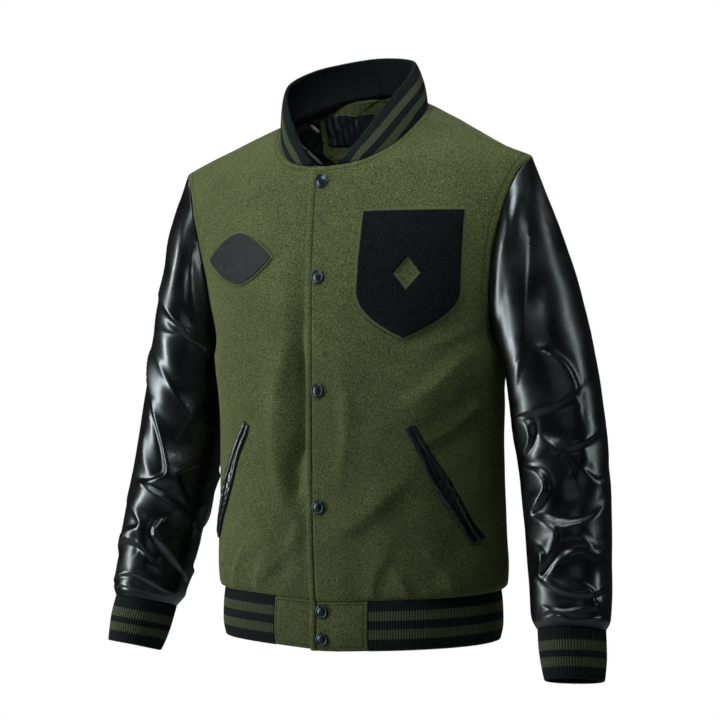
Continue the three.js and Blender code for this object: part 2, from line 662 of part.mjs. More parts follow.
// The hem rib runs from the left tab round the back to the right tab. Past the centre back it mirrors.
const TAB_LEFT_END = 56;
const TAB_RIGHT_END = 69;
const ribFrom = hemAtX(TAB_LEFT_END + GAP);
const ribTo = 4 - hemAtX(TAB_RIGHT_END + GAP);

function hemRound(v, q) {
  if (q <= 2) return hemPoint(q, v);
  const { p, out } = hemPoint(4 - q, v);
  return { p: mirrored(p, -1), out: mirrored(out, -1) };
}
piece('hem_rib', settled(ribWall(hemRound, ribFrom, ribTo, [0, 1], false)), COLOURS.rib, 0.9);

// A strip of cloth over a surface: outer points at a height given per column, over a plain inside.
function strip(surface, rows, columns, base, heights) {
  const outer = [];
  const inner = [];
  for (const r of rows) {
    outer.push(columns.map((c, k) => surface(r, c, base + (heights[k] ?? heights[0]))));
    inner.push(columns.map((c) => surface(r, c, base)));
  }
  return wall(outer, inner);
}
const steps = (from, to, count) => Array.from({ length: count + 1 }, (_, k) => lerp(from, to, k / count));

// The wool tabs at both ends of the hem rib. The left one lies over the right one.
const TAB_ROWS = [0, 0.2, 0.6, 1];
function tabSurface(over) {
  return (v, q, height) => {
    const lift = over ? liftAt(hemLine(q).x) : 0;
    const { p } = hemPoint(q, v, height - WOOL);
    p.y -= lift;
    return over ? p : mirrored(p, -1);
  };
}
const bandInner = BAND - OVERLAP;
const leftTab = steps(hemAtX(bandInner + GAP), hemAtX(TAB_LEFT_END), 6);
const rightTab = steps(0, hemAtX(TAB_RIGHT_END), 6);
piece('hem_tab_left', settled(strip(tabSurface(true), TAB_ROWS, leftTab, 0, [WOOL])), COLOURS.wool, 0.95);
piece('hem_tab_right', settled(strip(tabSurface(false), TAB_ROWS, rightTab, 0, [WOOL])), COLOURS.wool, 0.95);

// The bound front edge, one strip from the neck to the foot of the hem
const BAND_PANEL = { name: 'front', side: 1, edge: -OVERLAP, over: true, folds: LEFT_FOLDS };
const BAND_COLUMNS = [0, 0.25, 0.75, 1];
const BAND_HEIGHTS = [WOOL - 0.4, WOOL + 0.9, WOOL + 0.9, WOOL];

function bandSurface(r, c, height) {
  if (r < 0) {
    const q = lerp(0, hemAtX(bandInner), c);
    return tabSurface(true)(-r, q, height);
  }
  const x = lerp(-OVERLAP, bandInner, c);
  const u = shareAt(BAND_PANEL, r, x);
  const n = panelNormal(BAND_PANEL, r, Math.max(u, OUTWARD));
  return panelPoint(BAND_PANEL, r, u).addScaledVector(n, height - WOOL);
}
const bandRows = [...BODY_ROWS.filter((t) => t <= NECK).reverse(), ...TAB_ROWS.slice(1).map((v) => -v)];
piece('front_edge_band', settled(strip(bandSurface, bandRows, BAND_COLUMNS, 0, BAND_HEIGHTS)), COLOURS.wool, 0.95);

// The collar's free edge, a row for each row of the neckline: front rows 10 to 13, then back rows 12 to 10.
const COLLAR = [
  { row: 10, x: -17, y: -71, z: -60 },
  { row: 10.53, x: 15, y: -71, z: -57 },
  { row: 11, x: 37, y: -59, z: -31 },
  { row: 12, x: 60, y: -41, z: 4 },
  { row: 13, x: 82, y: -4, z: 48 },
  { row: 14, x: 69, y: 42, z: 72 },
  { row: 15, x: 38, y: 68, z: 83 },
  { row: 16, x: 0, y: 78, z: 88 },
];
const COLLAR_END = 16;
const COLLAR_BULGE = 3;
const COLLAR_LEAN = 4;

// The neckline along the panels' own corners
function neckLine(front, row) {
  const panel = row <= SHOULDER ? front : LEFT_BACK;
  const t = row <= SHOULDER ? row : 2 * SHOULDER - row;
  const k = Math.min(BODY_ROWS.findLastIndex((stop) => stop <= t), BODY_ROWS.length - 2);
  const share = (t - BODY_ROWS[k]) / (BODY_ROWS[k + 1] - BODY_ROWS[k]);
  return panelPoint(panel, BODY_ROWS[k], 0).lerp(panelPoint(panel, BODY_ROWS[k + 1], 0), share);
}

function collarTop(row) {
  const after = COLLAR.findIndex((entry) => entry.row > row);
  const i = after < 0 ? COLLAR.length - 1 : after - 1;
  const share = after < 0 ? 0 : (row - COLLAR[i].row) / (COLLAR[after].row - COLLAR[i].row);
  return vec(column(COLLAR, 'x', i + share), column(COLLAR, 'y', i + share), column(COLLAR, 'z', i + share));
}

function collarHalf(front, v, row, side) {
  const at = (r) => {
    const clipped = Math.min(r, 2 * SHOULDER - NECK);
    const base = neckLine(front, clipped);
    const top = collarTop(clipped);
    const up = top.clone().sub(base).normalize();
    return base.addScaledVector(up, GAP).lerp(top, v);
  };
  const p = at(row);
  const along = at(row + 0.02).sub(at(row - 0.02));
  const rise = collarTop(row).sub(neckLine(front, row));
  const out = along.cross(rise).normalize();
  if (out.dot(vec(p.x, p.y - 5, 0)) < 0) out.negate();
  if (row > 2 * SHOULDER - NECK - 0.02) out.setX(0).normalize();
  p.x -= side * COLLAR_LEAN * v * smooth((row - NECK) / 3);
  p.addScaledVector(out, COLLAR_BULGE * 4 * v * (1 - v) * smooth((row - NECK) / 2));
  return { p, out };
}

const CENTRE_BACK = 2 * SHOULDER - NECK;
const COLLAR_FRONT = { name: 'front', side: 1, edge: -OVERLAP, over: true, folds: LEFT_FOLDS };
const COLLAR_FRONT_UNDER = { name: 'front', side: 1, edge: -OVERLAP, over: false, folds: RIGHT_FOLDS };
const collarStart = solve((r) => neckLine(COLLAR_FRONT, r).x, COLLAR_END, NECK, NECK + 1);

function collarRound(v, row) {
  if (row <= CENTRE_BACK) return collarHalf(COLLAR_FRONT, v, row, 1);
  const { p, out } = collarHalf(COLLAR_FRONT_UNDER, v, 2 * CENTRE_BACK - row, -1);
  return { p: mirrored(p, -1), out: mirrored(out, -1) };
}
const collarStop = 2 * CENTRE_BACK - collarStart;
piece('collar', ribWall(collarRound, collarStart, collarStop, [0, 0.5, 1], false), COLOURS.rib, 0.9);

// The cuffs, in the same columns as the sleeve's rings
const CUFF = [
  { ox: 322, oz: -586.4, ix: 246.2, iz: -592.4, y: -14, half: 37, pitch: 0.24 },
  { ox: 324.5, oz: -604, ix: 249, iz: -610, y: -19, half: 37, pitch: 0.24 },
  { ox: 326, oz: -622, ix: 253, iz: -628, y: -23, half: 35, pitch: 0.24 },
  { ox: 326, oz: -641, ix: 259, iz: -647, y: -28, half: 31.5, pitch: 0.24 },
];

function cuffRound(side) {
  return (v, a) => {
    const at = (level, turn) => ringPoint(CUFF, level * (CUFF.length - 1), turn);
    const p = at(v, a);
    const centre = at(v, 0).add(at(v, Math.PI)).multiplyScalar(0.5);
    const out = p.clone().sub(centre).setZ(0).normalize();
    return { p: mirrored(p, side), out: mirrored(out, side) };
  };
}
piece('cuff_left', ribWall(cuffRound(1), 0, 2 * Math.PI, [0, 1], true), COLOURS.rib, 0.9);
piece('cuff_right', ribWall(cuffRound(-1), 0, 2 * Math.PI, [0, 1], true), COLOURS.rib, 0.9);

// A point over a panel at x, z, raised by a height from the panel's outer face.
function onPanel(panel, x, z, height) {
  const t = solve((row) => bodyPoint(panel, row, shareAt(panel, row, x)).z, z, 0, NECK + 1);
  const u = shareAt(panel, t, x);
  const p = panelPoint(panel, t, u);
  return p.addScaledVector(panelNormal(panel, t, Math.min(u, 1 - 2 * OUTWARD)), height);
}
const onSide = (panel, x, z, height) => mirrored(onPanel(panel, x, z, height), panel.side);
const LEFT_WHOLE = { name: 'front', side: 1, edge: -OVERLAP, over: true, folds: LEFT_FOLDS };

// Slanted welt pockets: a leather lip on each side of a slit that gapes, over a dark strip of pocketing
const POCKET = { topX: 108, topZ: -361, footX: 173, footZ: -494, lip: 5.5, gape: 5, slit: 1.4, seat: 1.2 };
const POCKET_ROWS = 14;
const LIP_COLUMNS = [0, 0.25, 0.7, 1];
const LIP_HEIGHTS = [1.2, 2.4, 2.2, 1];
const POCKETING = 0.7;

function pocketSurface(panel) {
  const length = Math.hypot(POCKET.footX - POCKET.topX, POCKET.footZ - POCKET.topZ);
  const acrossX = (POCKET.topZ - POCKET.footZ) / length;
  const acrossZ = (POCKET.footX - POCKET.topX) / length;
  return (r, c, height) => {
    const x = lerp(POCKET.topX, POCKET.footX, r) + acrossX * c;
    const z = lerp(POCKET.topZ, POCKET.footZ, r) + acrossZ * c;
    return onSide(panel, x, z, height);
  };
}
const gapeAt = (r) => POCKET.slit + POCKET.gape * Math.exp(-(((r - 0.52) / 0.2) ** 2));

for (const [name, panel] of [['left', LEFT_WHOLE], ['right', RIGHT_FRONT]]) {
  const surface = pocketSurface(panel);
  const lip = (sign) => (r, c, height) => surface(r, sign * (gapeAt(r) / 2 + c * POCKET.lip), height);
  const bag = (r, c, height) => surface(r, c * (gapeAt(r) / 2 - GAP), height);
  const rows = steps(0, 1, POCKET_ROWS);
  for (const [place, sign] of [['front', -1], ['back', 1]]) {
    const raised = strip(lip(sign), rows, LIP_COLUMNS, POCKET.seat, LIP_HEIGHTS);
    piece(`pocket_lip_${place}_${name}`, settled(raised), COLOURS.leather, 0.35);
  }
  const pocketing = strip(bag, rows, [-1, 1], POCKET.seat, [POCKETING]);
  piece(`pocket_bag_${name}`, settled(pocketing), COLOURS.satin, 0.8);
}

// Snaps down the centre front: a domed cap in a raised ring
const SNAPS = [
  { z: -78, seat: 0.6 },
  { z: -190, seat: 0.6 },
  { z: -322, seat: 0.6 },
  { z: -457, seat: 0.6 },
  { z: -579, seat: 0.4 },
  { z: -611, seat: -0.3 },
];
const SNAP_RADIUS = 7.6;
const SNAP_OUTLINE = [
  [0, 0],
  [SNAP_RADIUS, 0],
  [SNAP_RADIUS, 1.6],
  [SNAP_RADIUS - 0.8, 2.5],
  [SNAP_RADIUS - 1.9, 2.3],
  [SNAP_RADIUS - 2.3, 1.9],
  [SNAP_RADIUS - 4.4, 2.6],
  [0, 3],
];

SNAPS.forEach(({ z, seat: height }, k) => {
  const hemTop = hemLine(hemAtX(0)).z;
  const v = (hemTop - GAP - z) / HEM_HEIGHT;
  const seat = z > hemTop
    ? (x, dz) => onPanel(LEFT_WHOLE, x, z + dz, height)
    : (x, dz) => tabSurface(true)(v - dz / HEM_HEIGHT, hemAtX(x), WOOL + height);
  const p = seat(0, 0);
  const out = seat(2, 0).sub(seat(-2, 0)).cross(seat(0, 2).sub(seat(0, -2))).normalize();
  const profile = SNAP_OUTLINE.map(([r, h]) => new THREE.Vector2(r, h));
  const cap = new THREE.LatheGeometry(profile, 12);
  cap.applyQuaternion(new THREE.Quaternion().setFromUnitVectors(Y, out));
  cap.translate(p.x, p.y, p.z);
  piece(`snap_${k + 1}`, cap, COLOURS.metal, 0.3, 1);
});

// The chest patch on the wearer's left: a chenille shield with a diamond window, on a felt ground
const SHIELD = { x: 106, z: -187, half: 57, up: 72, down: 74, windowX: 15, windowZ: 19, lean: 0.06 };
const FELT_EDGE = 3;
const FELT = 1;
const CHENILLE = 2.4;

function shieldEdge(a) {
  const across = Math.sin(a);
  const rise = Math.cos(a);
  const sideAt = SHIELD.half / Math.max(Math.abs(across), 1e-6);
  if (rise >= 0) return Math.min(sideAt, SHIELD.up / Math.max(rise, 1e-6));
  const below = (r) => {
    const h = (-r * rise) / SHIELD.down;
    return Math.abs(r * across) / SHIELD.half + Math.max(0, (h - 0.25) / 0.75) ** 2.1;
  };
  return solve(below, 1, 0, SHIELD.down * 1.5);
}
const windowEdge = (a) => 1 / (Math.abs(Math.sin(a)) / SHIELD.windowX + Math.abs(Math.cos(a)) / SHIELD.windowZ);

function shieldSurface(border) {
  return (r, a, height) => {
    const radius = lerp(windowEdge(a) - border, shieldEdge(a) + border, r);
    const x = SHIELD.x + radius * Math.sin(a) + SHIELD.lean * radius * Math.cos(a);
    return onPanel(LEFT_WHOLE, x, SHIELD.z + radius * Math.cos(a), height);
  };
}

function closedStrip(surface, rows, turns, base, height) {
  const ring = (h) => rows.map((r) => turns.map((a) => surface(r, a, h)));
  return wall(ring(base + height), ring(base), true);
}
const cornerTurn = Math.atan2(SHIELD.half, SHIELD.up);
const shieldTurns = [
  ...steps(0, cornerTurn, 4).slice(0, -1),
  ...steps(cornerTurn, Math.PI / 2, 4).slice(0, -1),
  ...steps(Math.PI / 2, (3 * Math.PI) / 2, 16).slice(0, -1),
  ...steps((3 * Math.PI) / 2, 2 * Math.PI - cornerTurn, 4).slice(0, -1),
  ...steps(2 * Math.PI - cornerTurn, 2 * Math.PI, 4).slice(0, -1),
];
const shieldRows = [0, 0.5, 1];
const shieldFelt = closedStrip(shieldSurface(FELT_EDGE), shieldRows, shieldTurns, ON_PANEL, FELT);
piece('chest_patch_felt', shieldFelt, COLOURS.felt, 0.95);
piece(
  'chest_patch_chenille',
  closedStrip(shieldSurface(0), shieldRows, shieldTurns, ON_PANEL + FELT + ON_PANEL, CHENILLE),
  COLOURS.chenille,
  1,
);

// The pointed oval patch on the wearer's right
const OVAL = { x: 118, z: -165, half: 51, high: 30, point: 1.7, tip: 0.5 };

function ovalSurface(border) {
  return (r, c, height) => {
    const reach = OVAL.half + border * 1.6;
    const rise = (OVAL.high + border) * (1 - Math.abs(r) ** OVAL.point) + OVAL.tip;
    return onSide(RIGHT_FRONT, OVAL.x + r * reach, OVAL.z + c * rise, height);
  };
}
const OVAL_EDGE = 2;
const OVAL_FACE = 1.2;
const ovalRows = [-1, -0.93, -0.8, -0.6, -0.35, 0, 0.35, 0.6, 0.8, 0.93, 1];
const ovalColumns = [-1, -0.4, 0.4, 1];
const ovalFelt = strip(ovalSurface(OVAL_EDGE), ovalRows, ovalColumns, ON_PANEL, [FELT]);
piece('oval_patch_felt', ovalFelt, COLOURS.felt, 0.95);
const ovalFace = strip(ovalSurface(0), ovalRows, ovalColumns, ON_PANEL + FELT + ON_PANEL, [OVAL_FACE]);
piece('oval_patch_face', ovalFace, COLOURS.chenille, 0.9);

// Lining where the neck opening shows it, a wool facing behind the neck and a bare label on that
const LINING_DEPTH = WOOL + 0.8;
const BACK_LINING_DEPTH = WOOL + 1.1;
const FACING_DEPTH = BACK_LINING_DEPTH + THIN + 1;
const LABEL_DEPTH = FACING_DEPTH + WOOL + 1.2;
const LINING_FROM = 8;
const LINING_TO = 12.2;
const LABEL = { left: -74, right: -12, top: 22, foot: -16 };

const inside = (panel) => (t, u, depth) => {
  const p = panelPoint(panel, t, Math.abs(u));
  p.addScaledVector(panelNormal(panel, t, Math.abs(u)), depth);
  return mirrored(p, u < 0 ? -panel.side : panel.side);
};
const liningRows = BODY_ROWS.filter((t) => t >= LINING_FROM && t <= LINING_TO);
const backLiningRows = liningRows.filter((t) => t <= NECK);
const facingRows = backLiningRows.filter((t) => t > 8.9);
const frontInner = FRONT_COLUMNS.slice(2, -1);
const bothWays = (columns) => [...columns.slice(1).reverse().map((u) => -u), ...columns];
for (const panel of [LEFT_FRONT, RIGHT_FRONT]) {
  const name = `lining_front_${panel.side > 0 ? 'left' : 'right'}`;
  piece(name, strip(inside(panel), liningRows, frontInner, -LINING_DEPTH - THIN, [THIN]), COLOURS.lining, 0.5);
}
const backInner = bothWays(BACK_COLUMNS.slice(0, -1));
piece(
  'lining_back',
  strip(inside(LEFT_BACK), backLiningRows, backInner, -BACK_LINING_DEPTH - THIN, [THIN]),
  COLOURS.lining,
  0.5,
);
piece(
  'back_neck_facing',
  strip(inside(LEFT_BACK), facingRows, bothWays(BACK_COLUMNS.slice(0, 4)), -FACING_DEPTH - WOOL, [WOOL]),
  COLOURS.wool,
  0.95,
);
const labelSurface = (z, x, depth) => mirrored(onPanel(LEFT_BACK, Math.abs(x), z, depth), Math.sign(x));
const labelRows = steps(LABEL.foot, LABEL.top, 2);
const labelColumns = steps(LABEL.left, LABEL.right, 4);
piece('label', strip(labelSurface, labelRows, labelColumns, -LABEL_DEPTH - THIN, [THIN]), COLOURS.satin, 0.5);

export default group;
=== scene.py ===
import math

import bpy
import numpy as np
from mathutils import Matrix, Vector


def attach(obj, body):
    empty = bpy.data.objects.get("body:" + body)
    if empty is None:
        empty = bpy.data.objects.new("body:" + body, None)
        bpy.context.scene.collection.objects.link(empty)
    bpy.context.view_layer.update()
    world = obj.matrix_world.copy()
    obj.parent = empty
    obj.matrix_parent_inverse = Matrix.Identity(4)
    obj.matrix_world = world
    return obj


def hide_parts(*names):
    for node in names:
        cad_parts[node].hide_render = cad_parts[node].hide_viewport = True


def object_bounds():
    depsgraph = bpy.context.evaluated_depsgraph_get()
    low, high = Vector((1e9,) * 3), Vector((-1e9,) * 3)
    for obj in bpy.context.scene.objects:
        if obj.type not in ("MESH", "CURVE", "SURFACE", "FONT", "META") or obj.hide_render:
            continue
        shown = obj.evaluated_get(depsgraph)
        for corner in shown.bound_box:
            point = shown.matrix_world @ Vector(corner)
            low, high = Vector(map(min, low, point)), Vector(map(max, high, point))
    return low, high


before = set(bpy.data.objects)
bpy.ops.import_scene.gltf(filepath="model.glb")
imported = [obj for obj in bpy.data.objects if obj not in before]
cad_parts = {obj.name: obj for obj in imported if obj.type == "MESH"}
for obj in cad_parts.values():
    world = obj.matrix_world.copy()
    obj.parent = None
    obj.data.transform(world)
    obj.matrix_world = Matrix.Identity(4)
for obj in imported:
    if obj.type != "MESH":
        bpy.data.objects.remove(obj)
CAD_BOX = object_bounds()

bl_info = {
    "name": "Varsity jacket",
    "version": (1, 0, 0),
    "blender": (4, 5, 0),
    "location": "View3D > Sidebar > Jacket",
    "description": "A wool varsity jacket with leather sleeves and striped rib trims, filled out as worn",
    "category": "Object",
}

# Lengths in the tables are millimetres. +Z is up, +X is the wearer's left and -Y is the front.
MM = 0.001
# Thickness of each cloth, and the gap kept at seams
WOOL = 2.4
LEATHER = 1.8
RIB = 3.2
GAP = 0.3
# The left front laps this far past the centre, and a bound band runs along its edge
OVERLAP = 17
BAND = 9
# How high the lapping part lies, where it is that high and where it comes down to the body
LIFT = WOOL + GAP + 1.1
LIFT_FULL_TO = 19
LIFT_FADES_AT = 62

# Sections of the body from the hem seam up to the shoulder point. x and z place the side, yf and yb are its
# depth for the front and the back panel, f and b are the points on the centre line or neck, and wide and
# square give the shape of the curve between them.
BODY_NAMES = ("x", "z", "yf", "yb", "fx", "fy", "fz", "bx", "by", "bz", "wide", "square")
BODY = np.array([
    (178, -556, 24, 24, 0, -72, -567, 0, 111, -545, 1, 2.3),
    (185.5, -549, 24, 24, 0, -74, -560, 0, 117, -538, 1, 2.3),
    (187, -526, 24, 24, 0, -77, -532, 0, 119, -518, 1, 2.3),
    (184, -468, 23, 23, 0, -81, -468, 0, 118, -468, 1, 2.25),
    (182, -388, 20, 20, 0, -83, -386, 0, 119, -388, 1, 2.2),
    (184, -328, 16, 16, 0, -83, -322, 0, 119, -324, 1, 2.2),
    (188, -283, 11, 11, 0, -83, -268, 0, 118, -266, 1, 2.2),
    (184, -253, -5, 28, 0, -83, -222, 0, 115, -210, 1.01, 2.2),
    (187, -208, -23, 43, 0, -82, -166, 0, 110, -134, 1.05, 2.2),
    (196, -151, -29, 48, 0, -77, -108, 0, 99, -44, 1.12, 2.15),
    (206, -111, -27, 43, 0, -70, -64, 0, 86, 42, 1.2, 2.1),
    (218, -75, -16, 28, 45, -62, -54, 45, 76, 36, 1.3, 2),
    (226.5, -60, -8, 14, 77, -37, -32, 77, 49, 21, 1.4, 2),
    (231, -53, 0, 0, 92, 0, 0, 92, 0, 0, 1.5, 2),
])
# Rows of the table where the armhole, the neckline and the shoulder point begin
ARMPIT = 6
NECK = 10
SHOULDER = 13
SHOULDER_BOW = 1.12
# How many steps each row of the table is split into
BODY_STEPS = (1, 1, 2, 3, 2, 2, 2, 2, 1, 2, 3, 2, 1)

# Large folds of the body: x and z of the start and of the end, then the bow, the width and the height
LEFT_FOLDS = (
    (172, -300, 92, -356, 8, 17, 3.5),
    (150, -268, 60, -318, -6, 20, -2.5),
    (168, -352, 124, -396, 6, 14, -3),
    (60, -360, 84, -520, -10, 24, 2.5),
    (176, -440, 120, -550, 12, 16, -2.5),
)
RIGHT_FOLDS = (
    (34, -262, 30, -440, -10, 15, -7),
    (62, -300, 52, -460, -12, 15, 4),
    (168, -290, 90, -350, 8, 16, 3.5),
    (36, -470, 60, -545, 6, 14, -4),
    (150, -330, 96, -400, -8, 14, -3),
)
BACK_FOLDS = (
    (150, -250, 40, -330, 10, 18, 3.5),
    (-160, -262, -46, -322, -8, 18, 3.5),
    (120, -400, 132, -520, 10, 20, 3),
    (-96, -380, -120, -510, -10, 20, -3),
    (20, -360, -20, -520, 14, 24, -3),
)

# Rings of the sleeve from the armhole to the cuff: the outer and the inner point in the front view, the depth
# of the middle, half the depth of the ring and how far it is pitched
SLEEVE_NAMES = ("ox", "oz", "ix", "iz", "y", "half", "pitch")
SLEEVE = np.array([
    (231, -53, 188, -283, 9, 40, 0),
    (241, -80, 194, -292, 9, 50, 0),
    (253, -116, 198, -303, 13, 56, 0),
    (266, -164, 199, -317, 19, 60, -0.04),
    (279, -214, 199, -335, 24, 61, -0.05),
    (290, -264, 199.5, -359, 28, 60, -0.03),
    (300, -316, 203, -387, 29, 58, 0.02),
    (309, -372, 209, -420, 26, 55, 0.1),
    (316, -430, 216, -456, 19, 53, 0.18),
    (321, -485, 224, -500, 8, 50, 0.22),
    (325, -540, 232, -549, -3, 47, 0.24),
    (327, -574, 238, -581, -11, 43, 0.24),
    (323, -586, 245, -592, -14, 38, 0.24),
])
CUFF = np.array([
    (322, -586.4, 246.2, -592.4, -14, 37, 0.24),
    (324.5, -604, 249, -610, -19, 37, 0.24),
    (326, -622, 253, -628, -23, 35, 0.24),
    (326, -641, 259, -647, -28, 31.5, 0.24),
])
# Large folds of each sleeve, from a row and a turn in degrees to another: bow, width and height follow
SLEEVE_FOLDS = {
    1: (
        (2.2, 70, 5.2, 88, 6, 16, 3),
        (5.6, 150, 6.9, 62, 0.5, 10, 5),
        (6.9, 62, 7.6, 40, -0.2, 9, 4),
        (7.2, 40, 8, 150, -0.4, 10, 6),
        (8.1, 10, 8.6, 90, 0.2, 9, -4),
        (8.7, 140, 9.3, 60, 0.4, 8, 6),
        (9.4, 20, 9.5, 110, 0.5, 8, 5),
        (10, 150, 10.5, 50, -0.3, 7, 5),
        (10.8, 10, 11, 120, 0.3, 6, 4),
        (6.2, 200, 7.4, 290, 0.5, 10, 5),
        (7.8, 190, 8.5, 300, -0.4, 9, 5),
        (9.2, 200, 9.8, 320, 0.4, 8, 5),
        (10.6, 180, 10.9, 300, -0.3, 7, 4),
        (7.3, 300, 8.2, 372, 0.2, 9, -4),
    ),
    -1: (
        (2.4, 120, 4.6, 104, 8, 14, 3),
        (4.7, 60, 5.9, 160, 0.3, 10, 6),
        (5.6, 40, 6.1, 110, -0.3, 10, -5),
        (6.9, 60, 7.9, 125, -0.4, 8, 6),
        (8, 125, 8.5, 70, 0.3, 8, 5),
        (8.6, 70, 9.5, 160, -0.2, 8, 5),
        (8.2, 180, 9.2, 170, -8, 8, 5),
        (9.1, 50, 9.9, 90, 0.4, 8, -5),
        (9.5, 105, 10.9, 150, -0.3, 8, 6),
        (10.9, 40, 11.2, 120, 0.3, 7, 4),
        (6, 200, 7.2, 290, 0.4, 10, 5),
        (7.7, 190, 8.6, 300, -0.4, 9, 5),
        (9.3, 210, 9.9, 320, 0.4, 8, 5),
        (10.6, 190, 10.9, 300, -0.3, 7, 4),
    ),
}
# Creases of the leather, as curves through rows and turns in degrees. A crease is soft on one side and steep
# on the other, where a trough runs beside it. After each curve come the widths of those two sides, soft and
# steep, and the height of the crest.
SLEEVE_CREASES = {
    -1: (
        (((3.5, 36), (2.85, 90), (2.3, 120), (1.6, 146)), 18.9, 3.8, 7.5),
        (((4.25, 45), (3.3, 96), (2.55, 124), (1.6, 146)), -16.5, 4.2, -5.2),
        (((0.5, 106), (1.05, 114), (1.9, 115)), 18.9, 6, 4.4),
        (((0.9, 14), (1.93, 28), (2.7, 40)), 18, 8.5, 3.8),
        (((5.9, 62), (6.58, 91), (7.33, 109), (7.75, 112), (8.05, 96), (8.2, 70)), 16.8, 3, 8.2),
        (((4.9, 36), (5.4, 51), (6, 60)), 16.8, 4.2, 6),
        (((8.15, 66), (8.33, 106), (8.55, 138), (8.85, 172)), -18.9, 3, 6.8),
        (((8.65, 40), (8.97, 80), (9.25, 90), (9.5, 48)), 12.6, 3, 6),
        (((8.85, 125), (9.28, 115), (9.65, 139), (10.25, 186)), 14.7, 3, 6.8),
        (((6.9, 158), (7.33, 135), (7.65, 126), (8.18, 141), (8.7, 174)), -14.7, 3, 6),
        (((9.85, 30), (9.55, 66), (9.62, 99), (10, 122)), 16.8, 3.4, 6),
        (((10.85, 30), (10.45, 86), (10.62, 121), (10.9, 152)), 10.5, 2.6, 4.4),
        (((4.3, 146), (5.62, 127), (6.7, 113)), -18, 6, 4.4),
        (((11.3, 50), (11, 75), (11.2, 110), (11.35, 140)), 10.5, 2.6, 3),
        (((5.2, 215), (5.9, 255), (6.5, 300)), 18.9, 3.4, 6),
        (((7.2, 200), (7.6, 250), (7.3, 305)), -18.9, 3.4, 6),
        (((8.3, 205), (8.9, 240), (8.8, 290), (9.4, 325)), 16.8, 3.4, 6),
        (((9.9, 200), (10.1, 245), (10.5, 285)), -14.7, 3.4, 5.2),
        (((3, 190), (3.9, 225), (4.4, 265)), 15, 5.1, 4.4),
    ),
    1: (
        (((1.6, 40), (2.58, 65), (3.25, 85), (3.9, 100)), 27, 10.2, 2.7),
        (((4.05, 84), (4.5, 70), (4.95, 57), (5.5, 45), (6.3, 40)), 20, 3.4, 5),
        (((5.35, 132), (5.75, 112), (6.1, 104), (6.5, 108), (6.75, 128)), 16.8, 2.8, 5.6),
        (((5.1, 138), (5.75, 92), (5.98, 60), (5.8, 22)), -18, 4.2, 5),
        (((6.9, 140), (7.4, 104), (7.85, 94), (8.2, 106), (8.45, 126)), 16.8, 2.7, 6.3),
        (((8.4, 126), (8.68, 101), (8.95, 84), (9.35, 92), (9.75, 116)), 14.7, 2.7, 5.6),
        (((7.05, 84), (7.08, 46), (6.85, 2)), -18.9, 3.4, 5.6),
        (((6.35, 98), (6.9, 80), (7.4, 66), (7.8, 58)), 16.8, 4.2, 3.7),
        (((8.45, 108), (8.8, 80), (8.75, 46), (8.3, 8)), 18.9, 3, 5.6),
        (((9.25, 86), (9.1, 58), (9.3, 32), (9.15, 4)), 10.5, 2.7, 3.7),
        (((9.75, 98), (9.45, 76), (9.36, 50), (9.4, 20)), 10.5, 2.6, 4.3),
        (((9.75, 120), (10.2, 84), (10.3, 50), (10.05, 12)), -12.6, 2.6, 4.3),
        (((10.55, 120), (10.85, 86), (10.75, 58), (10.4, 20)), 12.6, 2.6, 3.7),
        (((9.95, 66), (10.2, 44), (10.65, 30)), 10.5, 2.6, 3.1),
        (((9.1, 122), (9.4, 104), (9.8, 114)), 8.4, 2.6, 3.7),
        (((11.35, 123), (11.1, 93), (11.4, 65), (11.1, 25)), 8.4, 2.6, 2.5),
        (((7.6, 50), (7.92, 28), (7.75, 2)), 14.7, 3, 3.7),
        (((5.4, 200), (6, 240), (6.4, 290)), 18.9, 3.4, 5),
        (((7, 195), (7.5, 235), (7.3, 300)), -18.9, 3.4, 5),
        (((8.5, 200), (8.8, 250), (9.3, 310)), 16.8, 3.4, 5),
        (((9.8, 205), (10.2, 250), (10.4, 300)), -14.7, 3.4, 4.3),
        (((3.2, 195), (4, 230), (4.6, 270)), 15, 5.1, 3.7),
    ),
}
# The share of the large folds that is left where the creases take over their lines
FOLD_SHARE = 0.3
# Creases of the wool, as curves in the front view in millimetres
LEFT_CREASES = (
    (((28, -296), (36, -360), (26, -424)), 16, 7, 4.7),
    (((26, -492), (60, -464), (104, -424)), 18, 9, 5.4),
    (((174, -268), (140, -310), (94, -345)), 17, 8, 6.1),
    (((178, -330), (150, -365), (116, -385)), 12, 7, 4.7),
    (((152, -566), (146, -530), (124, -498)), 11, 6, 4.3),
    (((62, -570), (64, -540), (82, -508)), 9, 6, 3),
    (((106, -568), (100, -546), (86, -522)), 8, 5, 2.7),
    (((180, -240), (150, -262), (112, -276)), 12, 7, 3.4),
    (((30, -120), (52, -170), (48, -230)), 26, 16, 2.2),
)
RIGHT_CREASES = (
    (((46, -262), (58, -340), (54, -420), (28, -486)), 24, 8, 6),
    (((24, -476), (50, -512), (92, -548)), 15, 7, 4),
    (((138, -566), (128, -532), (108, -500)), 9, 5, 3.6),
    (((158, -562), (162, -538), (150, -504)), 9, 5, 3),
    (((94, -568), (92, -542), (78, -514)), 8, 5, 2.5),
    (((168, -285), (120, -320), (72, -345)), 17, 8, 4.5),
    (((176, -222), (150, -245), (116, -262)), 12, 6, 2.6),
    (((30, -150), (44, -200), (40, -262)), 22, 10, 2.5),
    (((21, -70), (21, -190), (22, -320), (22, -450), (21, -570)), 7, 4, -4),
    (((25, -215), (29, -280), (27, -345), (22, -400)), 11, 8, -9),
    (((22, -378), (36, -412), (33, -456)), 11, 8, -7),
)
